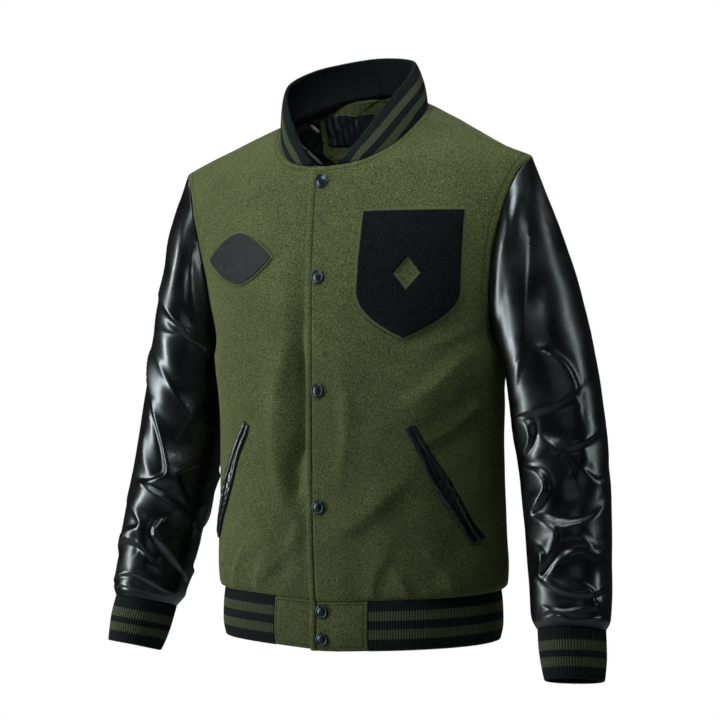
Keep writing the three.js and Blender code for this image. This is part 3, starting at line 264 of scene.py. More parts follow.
BACK_CREASES = (
    (((152, -245), (100, -290), (40, -310)), 18, 9, 4.5),
    (((-162, -255), (-105, -300), (-50, -315)), -18, 9, 4.5),
    (((120, -380), (128, -450), (116, -524)), 16, 8, 4),
    (((-100, -370), (-118, -440), (-108, -524)), -15, 8, 4),
    (((10, -330), (-14, -420), (6, -512)), 20, 10, 4),
    (((60, -550), (56, -520), (42, -492)), 9, 6, 2.4),
    (((-62, -550), (-68, -518), (-58, -488)), 9, 6, 2.4),
    (((132, -552), (138, -528), (128, -500)), 9, 6, 2.4),
    (((-24, -90), (-8, -170), (-26, -240)), 28, 16, 2.4),
    (((178, -330), (140, -372), (96, -392)), 13, 7, 3),
    (((-178, -338), (-140, -376), (-98, -400)), -13, 7, 3),
)
# Folds and creases of the body fade over these rows above the hem seam and below the neckline, and over these
# shares of the way in from the side
FOLD_FADES_OVER = 2
CREASE_FADES_OVER = 0.7
NECK_FADES_OVER = 1.5
FOLD_SIDE = 0.2
CREASE_SIDE = 0.12
# How sharp a crease's crest is, and how deep, how far off and how wide the trough beside it is
CREASE_CREST = 1.25
TROUGH_DEPTH = 0.2
TROUGH_AWAY = 2.1
TROUGH_WIDTH = 1.3
# Length along a sleeve for one row, and round it for one degree
ROW_LENGTH = 45
TURN_LENGTH = 0.92
# How far the hem hangs lower on the wearer's right, and over what heights
SAG = 9
SAG_FROM = -330
SAG_OVER = 200
SAG_HALF = 180
# Folds begin this far from the centre line, and reach their height this much further out
FOLDS_FROM = 18
FOLDS_OVER = 14
# Folds stand out from a line inside the body, set by these two
FOLD_X = 2.2
FOLD_Y = 24
# Rows over which a sleeve's rings come away from the armhole's line
BLEND_ROWS = 4
# Unevenness of the milled wool: scale, seed and height of two soft waves
WOOL_WAVES = ((34, 3, 0.22), (90, 4, 0.5))
# How deep and how wide the cloth sinks at the seams
SEAM_DIP = 1.1
SEAM_WIDTH = 1.6
# Distance of the stitch row from an edge, and a distance where there is no row
STITCH_AT = 8.5
NO_STITCH = 50


def smooth(t):
    """A soft step from 0 to 1."""
    s = np.clip(t, 0, 1)
    return s * s * (3 - 2 * s)


def column(table, names, key, at):
    """A column of a table at fractional rows, on a curve that never overshoots its rows."""
    values = np.asarray(table, float)[:, names.index(key)]
    last = len(values) - 1
    steps = np.diff(values)
    product = steps[:-1] * steps[1:]
    total = np.where(product > 0, steps[:-1] + steps[1:], 1)
    inner = np.where(product > 0, 2 * product / total, 0)
    slopes = np.concatenate([steps[:1], inner, steps[-1:]])
    t = np.clip(np.asarray(at, float), 0, last)
    i = np.minimum(np.floor(t).astype(int), last - 1)
    s = t - i
    rise = steps[i]
    a, b = slopes[i], slopes[i + 1]
    return values[i] + s * (a + s * (3 * rise - 2 * a - b + s * (a + b - 2 * rise)))


def stations():
    """The rows of the body's table with the steps between them."""
    rows = [0.0]
    for row, count in enumerate(BODY_STEPS):
        rows += [row + k / count for k in range(1, count + 1)]
    return np.array(rows)


BODY_ROWS = stations()


def fold_height(px, py, x0, y0, x1, y1, bow, width, height, crest=2.0):
    """How high a line of cloth stands at points near it."""
    dx, dy = x1 - x0, y1 - y0
    length = math.hypot(dx, dy)
    s = ((px - x0) * dx + (py - y0) * dy) / (length * length)
    across = ((px - x0) * -dy + (py - y0) * dx) / length
    inside = (s > 0) & (s < 1)
    s = np.clip(s, 0, 1)
    taper = np.sqrt(np.sin(np.pi * s))
    spread = width * (0.6 + 0.4 * taper)
    rise = np.exp(-np.abs((across - bow * 4 * s * (1 - s)) / spread) ** crest)
    return np.where(inside, height * taper * rise, 0)


def smooth_curve(points, count=10):
    """Points along a curve through the given ones."""
    p = np.array(points, float)
    p = np.vstack([2 * p[0] - p[1], p, 2 * p[-1] - p[-2]])
    s = np.linspace(0, 1, count, endpoint=False)[:, None]
    parts = []
    for a, b, c, d in zip(p[:-3], p[1:-2], p[2:-1], p[3:]):
        square, cube = 2 * a - 5 * b + 4 * c - d, 3 * b - 3 * c + d - a
        parts.append(0.5 * (2 * b + (c - a) * s + square * s ** 2 + cube * s ** 3))
    return np.vstack([*parts, p[-2:-1]])


def crease_height(px, py, points, soft, steep, height):
    """Height near a crease along a curve, with a trough beside its steep side."""
    curve = smooth_curve(points)
    best = np.full(px.shape, 1e9)
    signed = np.zeros(px.shape)
    along = np.zeros(px.shape)
    count = len(curve) - 1
    for k in range(count):
        ax, ay = curve[k]
        dx, dy = curve[k + 1] - curve[k]
        length = math.hypot(dx, dy)
        s = np.clip(((px - ax) * dx + (py - ay) * dy) / (length * length), 0, 1)
        ox, oy = px - ax - s * dx, py - ay - s * dy
        d = np.hypot(ox, oy)
        near = d < best
        best = np.where(near, d, best)
        signed = np.where(near, np.sign(dx * oy - dy * ox) * d, signed)
        along = np.where(near, (k + s) / count, along)
    across = signed * np.sign(soft)
    taper = np.sin(np.pi * np.clip(along, 0.02, 0.98)) ** 0.6
    width = np.where(across > 0, abs(soft), steep) * (0.55 + 0.45 * taper)
    crest = np.exp(-np.abs(across / width) ** CREASE_CREST)
    trough = np.exp(-((across + TROUGH_AWAY * steep) / (TROUGH_WIDTH * steep)) ** 2)
    return height * taper * (crest - TROUGH_DEPTH * trough)


class Panel:
    """A panel of the body: which side it is on, where its edge lies from the centre and what folds it has."""

    def __init__(self, name, side, edge, over, folds=(), creases=()):
        self.name, self.side, self.edge, self.over = name, side, edge, over
        self.folds, self.creases = folds, creases


LEFT_FRONT = Panel("front", 1, BAND - OVERLAP + GAP, True, LEFT_FOLDS, LEFT_CREASES)
LEFT_WHOLE = Panel("front", 1, -OVERLAP, True, LEFT_FOLDS, LEFT_CREASES)
RIGHT_FRONT = Panel("front", -1, -OVERLAP, False, RIGHT_FOLDS, RIGHT_CREASES)
HEM_FRONT = Panel("front", 1, -OVERLAP, False)
LEFT_BACK = Panel("back", 1, 0, False, BACK_FOLDS, BACK_CREASES)
RIGHT_BACK = Panel("back", -1, 0, False, BACK_FOLDS, BACK_CREASES)


def section(panel, t):
    """The body's section at rows t: a panel's start and end, and the turn round it at a sideways place."""

    def read(key):
        return column(BODY, BODY_NAMES, key, t)

    front = panel.name == "front"
    in_x, in_y, in_z = (read(key) for key in ("fx fy fz" if front else "bx by bz").split())
    key = "yf" if front else "yb"
    out_y = np.where(
        t <= ARMPIT,
        column(BODY[: ARMPIT + 1], BODY_NAMES, key, np.minimum(t, ARMPIT)),
        column(BODY[ARMPIT:], BODY_NAMES, key, np.maximum(t - ARMPIT, 0)),
    )
    out_x = read("x")
    start_x = in_x + panel.edge * np.maximum(0, 1 - in_x / 45)
    half = out_x * read("wide")
    power = 2 / read("square")

    def angle(x):
        return np.sign(x) * np.arcsin(np.minimum(1, (np.abs(x) / half) ** (1 / power)))

    return in_x, in_y, in_z, out_x, out_y, read("z"), half, power, angle, angle(start_x), angle(out_x)


def body_point(panel, t, u):
    """Points of the body at rows t, from the centre line (u = 0) to the side seam or armhole (u = 1)."""
    t, u = np.broadcast_arrays(np.asarray(t, float), np.asarray(u, float))
    in_x, in_y, in_z, out_x, out_y, out_z, half, power, angle, start, end = section(panel, t)

    def bulge(q):
        return 1 - np.maximum(np.cos(q), 0) ** power

    phi = start + (end - start) * u
    x = np.sign(phi) * half * np.abs(np.sin(phi)) ** power
    first = bulge(angle(in_x))
    share = (bulge(phi) - first) / (bulge(end) - first)
    along = np.clip((x - in_x) / (out_x - in_x), 0, 1)
    y = in_y + (out_y - in_y) * share
    z = in_z + (out_z - in_z) * along ** SHOULDER_BOW
    return np.stack([x, y, z], -1)


def share_at(panel, t, x):
    """The share of the way to the side at which the section has a sideways place."""
    *_, angle, start, end = section(panel, t)
    return np.clip((angle(x) - start) / (end - start), 0, 1)


def lift_at(x):
    """How far the lapping front lies over the body at a sideways place."""
    return LIFT * (1 - smooth((x - LIFT_FULL_TO) / (LIFT_FADES_AT - LIFT_FULL_TO)))


def panel_point(panel, t, u):
    """Points of a panel at rows t and shares u, with its folds, its creases and its lap."""
    t, u = np.broadcast_arrays(np.asarray(t, float), np.asarray(u, float))
    p = body_point(panel, t, u)
    near_neck = smooth((NECK - t) / NECK_FADES_OVER)
    edge = smooth((1 - u) / FOLD_SIDE) * smooth(t / FOLD_FADES_OVER) * near_neck
    back = panel.name == "back"
    x = p[..., 0] * panel.side if back else p[..., 0]
    free = 1 if back else smooth((p[..., 0] - FOLDS_FROM) / FOLDS_OVER)
    height = sum((fold_height(x, p[..., 2], *fold) for fold in panel.folds), np.zeros(t.shape))
    fine = sum((crease_height(x, p[..., 2], *crease) for crease in panel.creases), np.zeros(t.shape))
    fine_free = 1 if back else smooth((p[..., 0] - OVERLAP) / 3)
    fine_edge = smooth((1 - u) / CREASE_SIDE) * smooth(t / CREASE_FADES_OVER) * near_neck
    out = np.stack([p[..., 0] / FOLD_X, p[..., 1] - FOLD_Y, np.zeros(t.shape)], -1)
    out /= np.linalg.norm(out, axis=-1, keepdims=True)
    p = p + out * (free * edge * height + fine_free * fine_edge * fine)[..., None]
    if panel.over:
        p[..., 1] -= lift_at(p[..., 0])
    return p


def settle(p):
    """The hem hangs a little lower on the wearer's right."""
    share = np.clip(-p[..., 0] / SAG_HALF, 0, 1)
    p = p.copy()
    p[..., 2] -= SAG * share * share * smooth((SAG_FROM - p[..., 2]) / SAG_OVER)
    return p


def mirror(p, side):
    """Points or directions on the side asked for: 1 keeps them, -1 mirrors them."""
    return p * np.array([side, 1, 1])


def unit(v):
    """Directions of length 1."""
    return v / np.maximum(np.linalg.norm(v, axis=-1, keepdims=True), 1e-9)


def grid_normals(p, outward, wrap=False):
    """Normals of a grid of points, turned to the side that outward points to."""
    rows = np.gradient(p, axis=0)
    if wrap:
        cols = np.roll(p, -1, axis=1) - np.roll(p, 1, axis=1)
    else:
        cols = np.gradient(p, axis=1)
    n = unit(np.cross(rows, cols))
    flip = np.sign((n * outward).sum(-1, keepdims=True))
    return n * np.where(flip == 0, 1, flip)


def ripple(p, scale, seed):
    """A soft uneven value between about -1 and 1 at points in space, the same on each run."""
    rng = np.random.default_rng(seed)
    total = np.zeros(p.shape[:-1])
    for _ in range(7):
        wave = rng.normal(size=3)
        wave *= (0.6 + 0.8 * rng.random()) * 2 * math.pi / scale / np.linalg.norm(wave)
        total += np.sin(p @ wave + rng.random() * 6.283)
    return total / 3.5


# Meshes


def mesh_object(name, points, faces, materials, face_material=None, uv=None, stitch=None):
    """A smooth piece from points in millimetres, with its maps of the cloth and of the stitches."""
    mesh = bpy.data.meshes.new(name)
    face_lists = faces.tolist() if hasattr(faces, "tolist") else faces
    mesh.from_pydata((np.asarray(points) * MM).tolist(), [], face_lists)
    for material in materials:
        mesh.materials.append(material)
    if face_material is not None:
        mesh.polygons.foreach_set("material_index", np.asarray(face_material, np.int32))
    mesh.polygons.foreach_set("use_smooth", np.ones(len(mesh.polygons), bool))
    corner = np.empty(len(mesh.loops), np.int32)
    mesh.loops.foreach_get("vertex_index", corner)
    for layer_name, values in (("cloth", uv), ("stitch", stitch)):
        if values is not None:
            layer = mesh.uv_layers.new(name=layer_name)
            layer.data.foreach_set("uv", np.asarray(values, np.float32)[corner].ravel())
    mesh.update()
    piece = bpy.data.objects.new(name, mesh)
    bpy.context.scene.collection.objects.link(piece)
    return piece


def grid_faces(rows, cols, wrap):
    """Four-cornered faces of a grid, which may join its last column to its first."""
    ids = np.arange(rows * cols).reshape(rows, cols)
    right = np.roll(ids, -1, axis=1) if wrap else ids[:, 1:]
    left = ids if wrap else ids[:, :-1]
    return np.stack([left[:-1], right[:-1], right[1:], left[1:]], -1).reshape(-1, 4)


def face_out(points, faces, outward):
    """Turns all the faces round if most of them look the wrong way."""
    p = points.reshape(-1, 3)
    o = outward.reshape(-1, 3)
    a, b, d = p[faces[:, 0]], p[faces[:, 1]], p[faces[:, 3]]
    looks = (np.cross(b - a, d - a) * o[faces[:, 0]]).sum(-1)
    return faces if looks.sum() > 0 else faces[:, ::-1]


def shell(name, outer, inner, outward, materials, wrap=False, uv=None, stitch=None):
    """A thin closed wall between two grids of points, with its outer face in the first material."""
    rows, cols = outer.shape[:2]
    count = rows * cols
    faces = face_out(outer, grid_faces(rows, cols, wrap), outward)
    back = faces[:, ::-1] + count
    turned = faces[0, 0] != grid_faces(rows, cols, wrap)[0, 0]
    ids = np.arange(count).reshape(rows, cols)
    sides = [(ids[0], not turned), (ids[-1], turned)]
    if wrap:
        sides = [(np.append(line, line[0]), flip) for line, flip in sides]
    else:
        sides += [(ids[:, 0], turned), (ids[:, -1], not turned)]
    rims = []
    for line, flip in sides:
        quads = np.stack([line[:-1], line[1:], line[1:] + count, line[:-1] + count], -1)
        rims.append(quads[:, ::-1] if flip else quads)
    rim_faces = np.concatenate(rims)
    everything = np.concatenate([faces, back, rim_faces])
    index = np.concatenate([
        np.zeros(len(faces), int),
        np.full(len(back), len(materials) - 1),
        np.zeros(len(rim_faces), int),
    ])
    points = np.concatenate([outer.reshape(-1, 3), inner.reshape(-1, 3)])

    def twice(values):
        return None if values is None else np.concatenate([values.reshape(-1, 2)] * 2) * MM

    return mesh_object(name, points, everything, materials, index, twice(uv), twice(stitch))


def path_lengths(p, axis):
    """Length along a grid's axis from its start."""
    steps = np.linalg.norm(np.diff(p, axis=axis), axis=-1)
    start = np.zeros_like(np.take(steps, [0], axis=axis))
    return np.concatenate([start, np.cumsum(steps, axis=axis)], axis=axis)


def close_stops(count, ends=0.02, near=4):
    """Shares from 0 to 1 with extra ones near both ends."""
    extra = np.linspace(0, ends, near + 1)
    return np.unique(np.concatenate([np.linspace(0, 1, count), extra, 1 - extra]))


def distance_to_line(points, line):
    """Distance of points from a line of points, and how far along it the nearest place is."""
    flat = points.reshape(-1, 3)
    best = np.full(len(flat), 1e9)
    along = np.zeros(len(flat))
    start = 0.0
    for a, b in zip(line[:-1], line[1:]):
        step = b - a
        length = np.linalg.norm(step)
        s = np.clip(((flat - a) @ step) / max(length * length, 1e-9), 0, 1)
        d = np.linalg.norm(flat - a - s[:, None] * step, axis=-1)
        near = d < best
        best = np.where(near, d, best)
        along = np.where(near, start + s * length, along)
        start += length
    shape = points.shape[:-1]
    return best.reshape(shape), along.reshape(shape)


# Materials


def add_group(name, inputs, outputs):
    group = bpy.data.node_groups.new(name, "ShaderNodeTree")
    for label, kind, default in inputs:
        socket = group.interface.new_socket(label, in_out="INPUT", socket_type=kind)
        if default is not None:
            socket.default_value = default
    for label, kind in outputs:
        group.interface.new_socket(label, in_out="OUTPUT", socket_type=kind)
    return group, group.nodes.new("NodeGroupInput"), group.nodes.new("NodeGroupOutput")


def node(tree, kind, inputs=None, **settings):
    made = tree.nodes.new(kind)
    for key, value in settings.items():
        setattr(made, key, value)
    for key, value in (inputs or {}).items():
        if isinstance(value, bpy.types.NodeSocket):
            tree.links.new(value, made.inputs[key])
        else:
            made.inputs[key].default_value = value
    return made


def maths(tree, operation, a, b=None):
    values = {k: v for k, v in enumerate((a, b)) if v is not None}
    return node(tree, "ShaderNodeMath", values, operation=operation).outputs[0]


def blend_colours(tree, factor, a, b):
    made = node(tree, "ShaderNodeMix", data_type="RGBA")
    for index, value in ((0, factor), (6, a), (7, b)):
        if isinstance(value, bpy.types.NodeSocket):
            tree.links.new(value, made.inputs[index])
        else:
            made.inputs[index].default_value = value
    return made.outputs[2]


def mapped(tree, value, low, high, first=0.0, last=1.0, **settings):
    """A value that goes from first to last while the one given goes from low to high."""
    inputs = {0: value, 1: low, 2: high, 3: first, 4: last}
    return node(tree, "ShaderNodeMapRange", inputs, **settings).outputs[0]


def noise(tree, place, scale, detail, **more):
    """Soft noise of a scale, in points per metre."""
    inputs = {"Vector": place, "Scale": scale, "Detail": detail, **more}
    return node(tree, "ShaderNodeTexNoise", inputs).outputs[0]


def object_place(tree):
    return node(tree, "ShaderNodeTexCoord").outputs["Object"]


def shaded(colour, gain, lift=0.0):
    """A colour made lighter or darker, with its opacity."""
    return (*(min(1, c * gain + lift) for c in colour), 1)


def between(tree, value, low, high, soft):
    """1 where value lies between low and high."""
    rise = mapped(tree, value, low - soft, low + soft)
    fall = mapped(tree, value, high - soft, high + soft, 1.0, 0.0)
    return maths(tree, "MULTIPLY", rise, fall)


def nap_group():
    """Short matted nap of milled wool or felt."""
    group, given, out = add_group(
        "Nap",
        [("Colour", "NodeSocketColor", None), ("Light fibre", "NodeSocketColor", None),
         ("Dark fibre", "NodeSocketColor", None), ("Scale", "NodeSocketFloat", 1.0)],
        [("Colour", "NodeSocketColor"), ("Height", "NodeSocketFloat"), ("Roughness", "NodeSocketFloat")],
    )
    place = object_place(group)
    fibre_scale = maths(group, "MULTIPLY", given.outputs["Scale"], 820.0)
    tuft_scale = maths(group, "MULTIPLY", given.outputs["Scale"], 500.0)
    fibre = noise(group, place, fibre_scale, 3.0, Roughness=0.7, Distortion=0.6)
    tuft = noise(group, place, tuft_scale, 4.0, Roughness=0.6, Distortion=1.2)
    cloud = noise(group, place, 14.0, 3.0, Roughness=0.6)
    light = mapped(group, fibre, 0.47, 0.62)
    dark = mapped(group, tuft, 0.56, 0.38)
    cloudy = mapped(group, cloud, 0.35, 0.65, 0.0, 0.22)
    dark_fibre, light_fibre = given.outputs["Dark fibre"], given.outputs["Light fibre"]
    colour = blend_colours(group, maths(group, "MULTIPLY", dark, 0.9), given.outputs["Colour"], dark_fibre)
    colour = blend_colours(group, maths(group, "MULTIPLY", light, 0.9), colour, light_fibre)
    colour = blend_colours(group, cloudy, colour, dark_fibre)
    height = maths(group, "ADD", maths(group, "MULTIPLY", fibre, 0.5), tuft)
    rough = mapped(group, tuft, 0.3, 0.7, 0.98, 0.85)
    group.links.new(colour, out.inputs["Colour"])
    group.links.new(height, out.inputs["Height"])
    group.links.new(rough, out.inputs["Roughness"])
    return group


def stitch_group():
    """A row of sunk stitches at a distance from an edge, read from the stitch map."""
    group, given, out = add_group(
        "Stitch row",
        [("Distance", "NodeSocketFloat", STITCH_AT * MM), ("Pitch", "NodeSocketFloat", 0.0036)],
        [("Thread", "NodeSocketFloat"), ("Groove", "NodeSocketFloat")],
    )
    chart = node(group, "ShaderNodeUVMap", uv_map="stitch").outputs[0]
    split = node(group, "ShaderNodeSeparateXYZ", {0: chart})
    off = maths(group, "ABSOLUTE", maths(group, "SUBTRACT", split.outputs[0], given.outputs["Distance"]))
    groove = mapped(group, off, 0.0, 0.0018, 1.0, 0.0, interpolation_type="SMOOTHSTEP")
    thread = mapped(group, off, 0.0003, 0.00055, 1.0, 0.0)
    dash = maths(group, "PINGPONG", split.outputs[1], maths(group, "MULTIPLY", given.outputs["Pitch"], 0.5))
    share = maths(group, "DIVIDE", dash, given.outputs["Pitch"])
    shown = mapped(group, share, 0.08, 0.14)
    group.links.new(maths(group, "MULTIPLY", thread, shown), out.inputs["Thread"])
    group.links.new(groove, out.inputs["Groove"])
    return group


def grain_group():
    """Fine pebbled grain of coated leather, with soft unevenness in its gloss."""
    group, given, out = add_group(
        "Grain",
        [("Gloss low", "NodeSocketFloat", 0.22), ("Gloss high", "NodeSocketFloat", 0.36)],
        [("Height", "NodeSocketFloat"), ("Roughness", "NodeSocketFloat"), ("Wear", "NodeSocketFloat")],
    )
    place = object_place(group)
    pebble = node(group, "ShaderNodeTexVoronoi", {"Vector": place, "Scale": 620.0}, feature="SMOOTH_F1")
    fine = noise(group, place, 190.0, 4.0, Roughness=0.6)
    cloud = noise(group, place, 26.0, 3.0)
    pebble_height = maths(group, "MULTIPLY", pebble.outputs[0], 0.6)
    height = maths(group, "ADD", pebble_height, maths(group, "MULTIPLY", fine, 0.8))
    gloss = mapped(group, cloud, 0.3, 0.7, given.outputs["Gloss low"], given.outputs["Gloss high"])
    wear = mapped(group, cloud, 0.5, 0.75)
    group.links.new(height, out.inputs["Height"])
    group.links.new(gloss, out.inputs["Roughness"])
    group.links.new(wear, out.inputs["Wear"])
    return group


def use(tree, group, inputs=None):
    """A node that holds a group, with its inputs set."""
    made = node(tree, "ShaderNodeGroup", node_tree=group)
    for key, value in (inputs or {}).items():
        made.inputs[key].default_value = value
    return made


def new_material(name, preview, **constants):
    material = bpy.data.materials.new(name)
    material.use_nodes = True
    material.diffuse_color = preview
    tree = material.node_tree
    shader = tree.nodes["Principled BSDF"]
    for key, value in constants.items():
        shader.inputs[key.replace("_", " ")].default_value = value
    return material, tree, shader


def add_bump(tree, shader, height, strength, distance, after=None):
    bump = node(tree, "ShaderNodeBump", {"Height": height, "Strength": strength, "Distance": distance})
    if after is not None:
        tree.links.new(after, bump.inputs["Normal"])
    tree.links.new(bump.outputs[0], shader.inputs["Normal"])
    return bump.outputs[0]


GROUPS = {}
MATERIALS = {}


def shared(name, make):
    if name not in GROUPS:
        GROUPS[name] = make()
    return GROUPS[name]


def wool(stitched):
    key = "wool stitched" if stitched else "wool"
    if key in MATERIALS:
        return MATERIALS[key]
    colours = bpy.context.scene.jacket_colours
    material, tree, shader = new_material(
        "Stitched wool" if stitched else "Wool melton", (*colours.wool, 1),
        Specular_IOR_Level=0.15, Sheen_Weight=0.12, Sheen_Roughness=0.5, Sheen_Tint=(0.5, 0.55, 0.35, 1),
    )
    base = (*colours.wool, 1)
    light, dark = shaded(colours.wool, 2.6, 0.014), shaded(colours.wool, 0.25)
    fibres = {"Colour": base, "Light fibre": light, "Dark fibre": dark, "Scale": 1.0}
    nap = use(tree, shared("nap", nap_group), fibres)
    colour, height = nap.outputs["Colour"], nap.outputs["Height"]
    after = None
    if stitched:
        row = use(tree, shared("stitch", stitch_group))
        # Painted shade: the wool's colour is darkened along the sunk stitch groove, on top of the bump that
        # dents it
        colour = blend_colours(tree, maths(tree, "MULTIPLY", row.outputs["Groove"], 0.45), colour, dark)
        colour = blend_colours(tree, maths(tree, "MULTIPLY", row.outputs["Thread"], 0.7), colour, base)
        sunk = maths(tree, "MULTIPLY", row.outputs["Groove"], -1.0)
        after = add_bump(tree, shader, sunk, 0.8, 0.0012)
    tree.links.new(colour, shader.inputs["Base Color"])
    tree.links.new(nap.outputs["Roughness"], shader.inputs["Roughness"])
    add_bump(tree, shader, height, 0.8, 0.0012, after)
    MATERIALS[key] = material
    return material


def leather():
    if "leather" in MATERIALS:
        return MATERIALS["leather"]
    colours = bpy.context.scene.jacket_colours
    material, tree, shader = new_material(
        "Black leather", (*colours.leather, 1), Specular_IOR_Level=0.5, Specular_Tint=(0.84, 0.97, 1, 1),
        IOR=1.5,
    )
    grain = use(tree, shared("grain", grain_group), {"Gloss low": 0.22, "Gloss high": 0.36})
    worn = shaded(colours.leather, 2.2, 0.002)
    wear = maths(tree, "MULTIPLY", grain.outputs["Wear"], 0.5)
    colour = blend_colours(tree, wear, (*colours.leather, 1), worn)
    tree.links.new(colour, shader.inputs["Base Color"])
    tree.links.new(grain.outputs["Roughness"], shader.inputs["Roughness"])
    add_bump(tree, shader, grain.outputs["Height"], 0.12, 0.0006)
    MATERIALS["leather"] = material
    return material


def rib_knit():
    if "rib" in MATERIALS:
        return MATERIALS["rib"]
    colours = bpy.context.scene.jacket_colours
    material, tree, shader = new_material(
        "Striped rib knit", (*colours.rib, 1), Specular_IOR_Level=0.1, Sheen_Weight=0.02, Sheen_Roughness=0.5,
    )
    chart = node(tree, "ShaderNodeUVMap", uv_map="cloth").outputs[0]
    split = node(tree, "ShaderNodeSeparateXYZ", {0: chart})
    level = maths(tree, "MULTIPLY", split.outputs[1], 1000.0)
    stripe = maths(tree, "ADD", between(tree, level, 1.0, 2.0, 0.03), between(tree, level, 3.0, 4.0, 0.03))
    place = object_place(tree)
    yarn = noise(tree, place, 1100.0, 2.0, Roughness=0.6)
    uneven = mapped(tree, yarn, 0.35, 0.65)
    dark = blend_colours(tree, uneven, shaded(colours.rib, 0.6), shaded(colours.rib, 1.7))
    green = blend_colours(tree, uneven, shaded(colours.stripe, 0.6), shaded(colours.stripe, 1.3))
    shader.inputs["Roughness"].default_value = 0.85
    # Painted shade: the knit's colour is darkened in the valleys between the ribs
    off_rib = maths(tree, "PINGPONG", split.outputs[0], 0.5)
    painted_valley_shade = mapped(tree, off_rib, 0.22, 0.5, 0.0, 0.8)
    knit = blend_colours(tree, painted_valley_shade, blend_colours(tree, stripe, dark, green), shaded(colours.rib, 0.3))
    tree.links.new(knit, shader.inputs["Base Color"])
    course = node(tree, "ShaderNodeSeparateXYZ", {0: place}).outputs[2]
    loops = maths(tree, "SINE", maths(tree, "MULTIPLY", course, 4800.0))
    height = maths(tree, "ADD", maths(tree, "MULTIPLY", loops, 0.3), yarn)
    add_bump(tree, shader, height, 0.5, 0.0006)
    MATERIALS["rib"] = material
    return material


def satin(name, colour, quilted):
    if name in MATERIALS:
        return MATERIALS[name]
    material, tree, shader = new_material(name, (*colour, 1), Specular_IOR_Level=0.5, Anisotropic=0.4)
    place = object_place(tree)
    cloud = noise(tree, place, 40.0, 3.0, Distortion=0.8)
    weave = noise(tree, place, 1500.0, 1.0)
    shade = blend_colours(tree, cloud, shaded(colour, 0.6), shaded(colour, 1.5))
    tree.links.new(shade, shader.inputs["Base Color"])
    tree.links.new(mapped(tree, cloud, 0.3, 0.7, 0.3, 0.5), shader.inputs["Roughness"])
    height = maths(tree, "ADD", maths(tree, "MULTIPLY", cloud, 4.0), weave)
    if quilted:
        split = node(tree, "ShaderNodeSeparateXYZ", {0: place})
        diagonal = maths(tree, "ADD", split.outputs[0], split.outputs[2])
        other = maths(tree, "SUBTRACT", split.outputs[0], split.outputs[2])
        lines = [maths(tree, "PINGPONG", way, 0.02) for way in (diagonal, other)]
        nearest = maths(tree, "MINIMUM", *lines)
        seam = mapped(tree, nearest, 0.0, 0.006, -14.0, 0.0, interpolation_type="SMOOTHSTEP")
        height = maths(tree, "ADD", height, seam)
    add_bump(tree, shader, height, 0.4, 0.0006)
    MATERIALS[name] = material
    return material


def felt():
    if "felt" in MATERIALS:
        return MATERIALS["felt"]
    colours = bpy.context.scene.jacket_colours
    material, tree, shader = new_material("Felt edge", (*colours.felt, 1), Specular_IOR_Level=0.2)
    fibres = {"Light fibre": shaded(colours.felt, 1.5), "Dark fibre": shaded(colours.felt, 0.5)}
    nap = use(tree, shared("nap", nap_group), {"Colour": (*colours.felt, 1), "Scale": 1.6, **fibres})
    tree.links.new(nap.outputs["Colour"], shader.inputs["Base Color"])
    tree.links.new(nap.outputs["Roughness"], shader.inputs["Roughness"])
    add_bump(tree, shader, nap.outputs["Height"], 0.4, 0.0005)
    MATERIALS["felt"] = material
    return material


def chenille():
    if "chenille" in MATERIALS:
        return MATERIALS["chenille"]
    colours = bpy.context.scene.jacket_colours
    material, tree, shader = new_material(
        "Navy chenille", (*colours.chenille, 1), Specular_IOR_Level=0.1, Sheen_Weight=0.04,
        Sheen_Roughness=0.4,
    )
    place = object_place(tree)
    loops = node(tree, "ShaderNodeTexVoronoi", {"Vector": place, "Scale": 420.0}, feature="SMOOTH_F1")
    fibre = noise(tree, place, 1300.0, 2.0)
    # Painted light: the loop tops get a lighter copy of the colour (painted highlight) and the gaps between
    # the loops a darker one (painted shade)
    deep = mapped(tree, loops.outputs[0], 0.15, 0.75)
    lit, sunk = shaded(colours.chenille, 2.2, 0.0014), shaded(colours.chenille, 0.35)
    tree.links.new(blend_colours(tree, deep, lit, sunk), shader.inputs["Base Color"])
    shader.inputs["Roughness"].default_value = 0.9
    height = maths(tree, "SUBTRACT", maths(tree, "MULTIPLY", fibre, 0.3), loops.outputs[0])
    add_bump(tree, shader, height, 0.9, 0.0014)
    MATERIALS["chenille"] = material
    return material


def twill():
    """Close embroidered fill of the small patch."""
    if "twill" in MATERIALS:
        return MATERIALS["twill"]
    colours = bpy.context.scene.jacket_colours
    material, tree, shader = new_material("Navy twill", (*colours.chenille, 1), Specular_IOR_Level=0.2)
    place = object_place(tree)
    split = node(tree, "ShaderNodeSeparateXYZ", {0: place})
    slant = maths(tree, "ADD", split.outputs[2], maths(tree, "MULTIPLY", split.outputs[0], 0.6))
    threads = maths(tree, "SINE", maths(tree, "MULTIPLY", slant, 7000.0))
    cloud = noise(tree, place, 160.0, 4.0)
    low, high = shaded(colours.chenille, 0.9), shaded(colours.chenille, 2.6, 0.004)
    tone = blend_colours(tree, mapped(tree, cloud, 0.35, 0.65), low, high)
    tree.links.new(tone, shader.inputs["Base Color"])
    shader.inputs["Roughness"].default_value = 0.6
    add_bump(tree, shader, maths(tree, "ADD", threads, cloud), 0.35, 0.0004)
    MATERIALS["twill"] = material
    return material


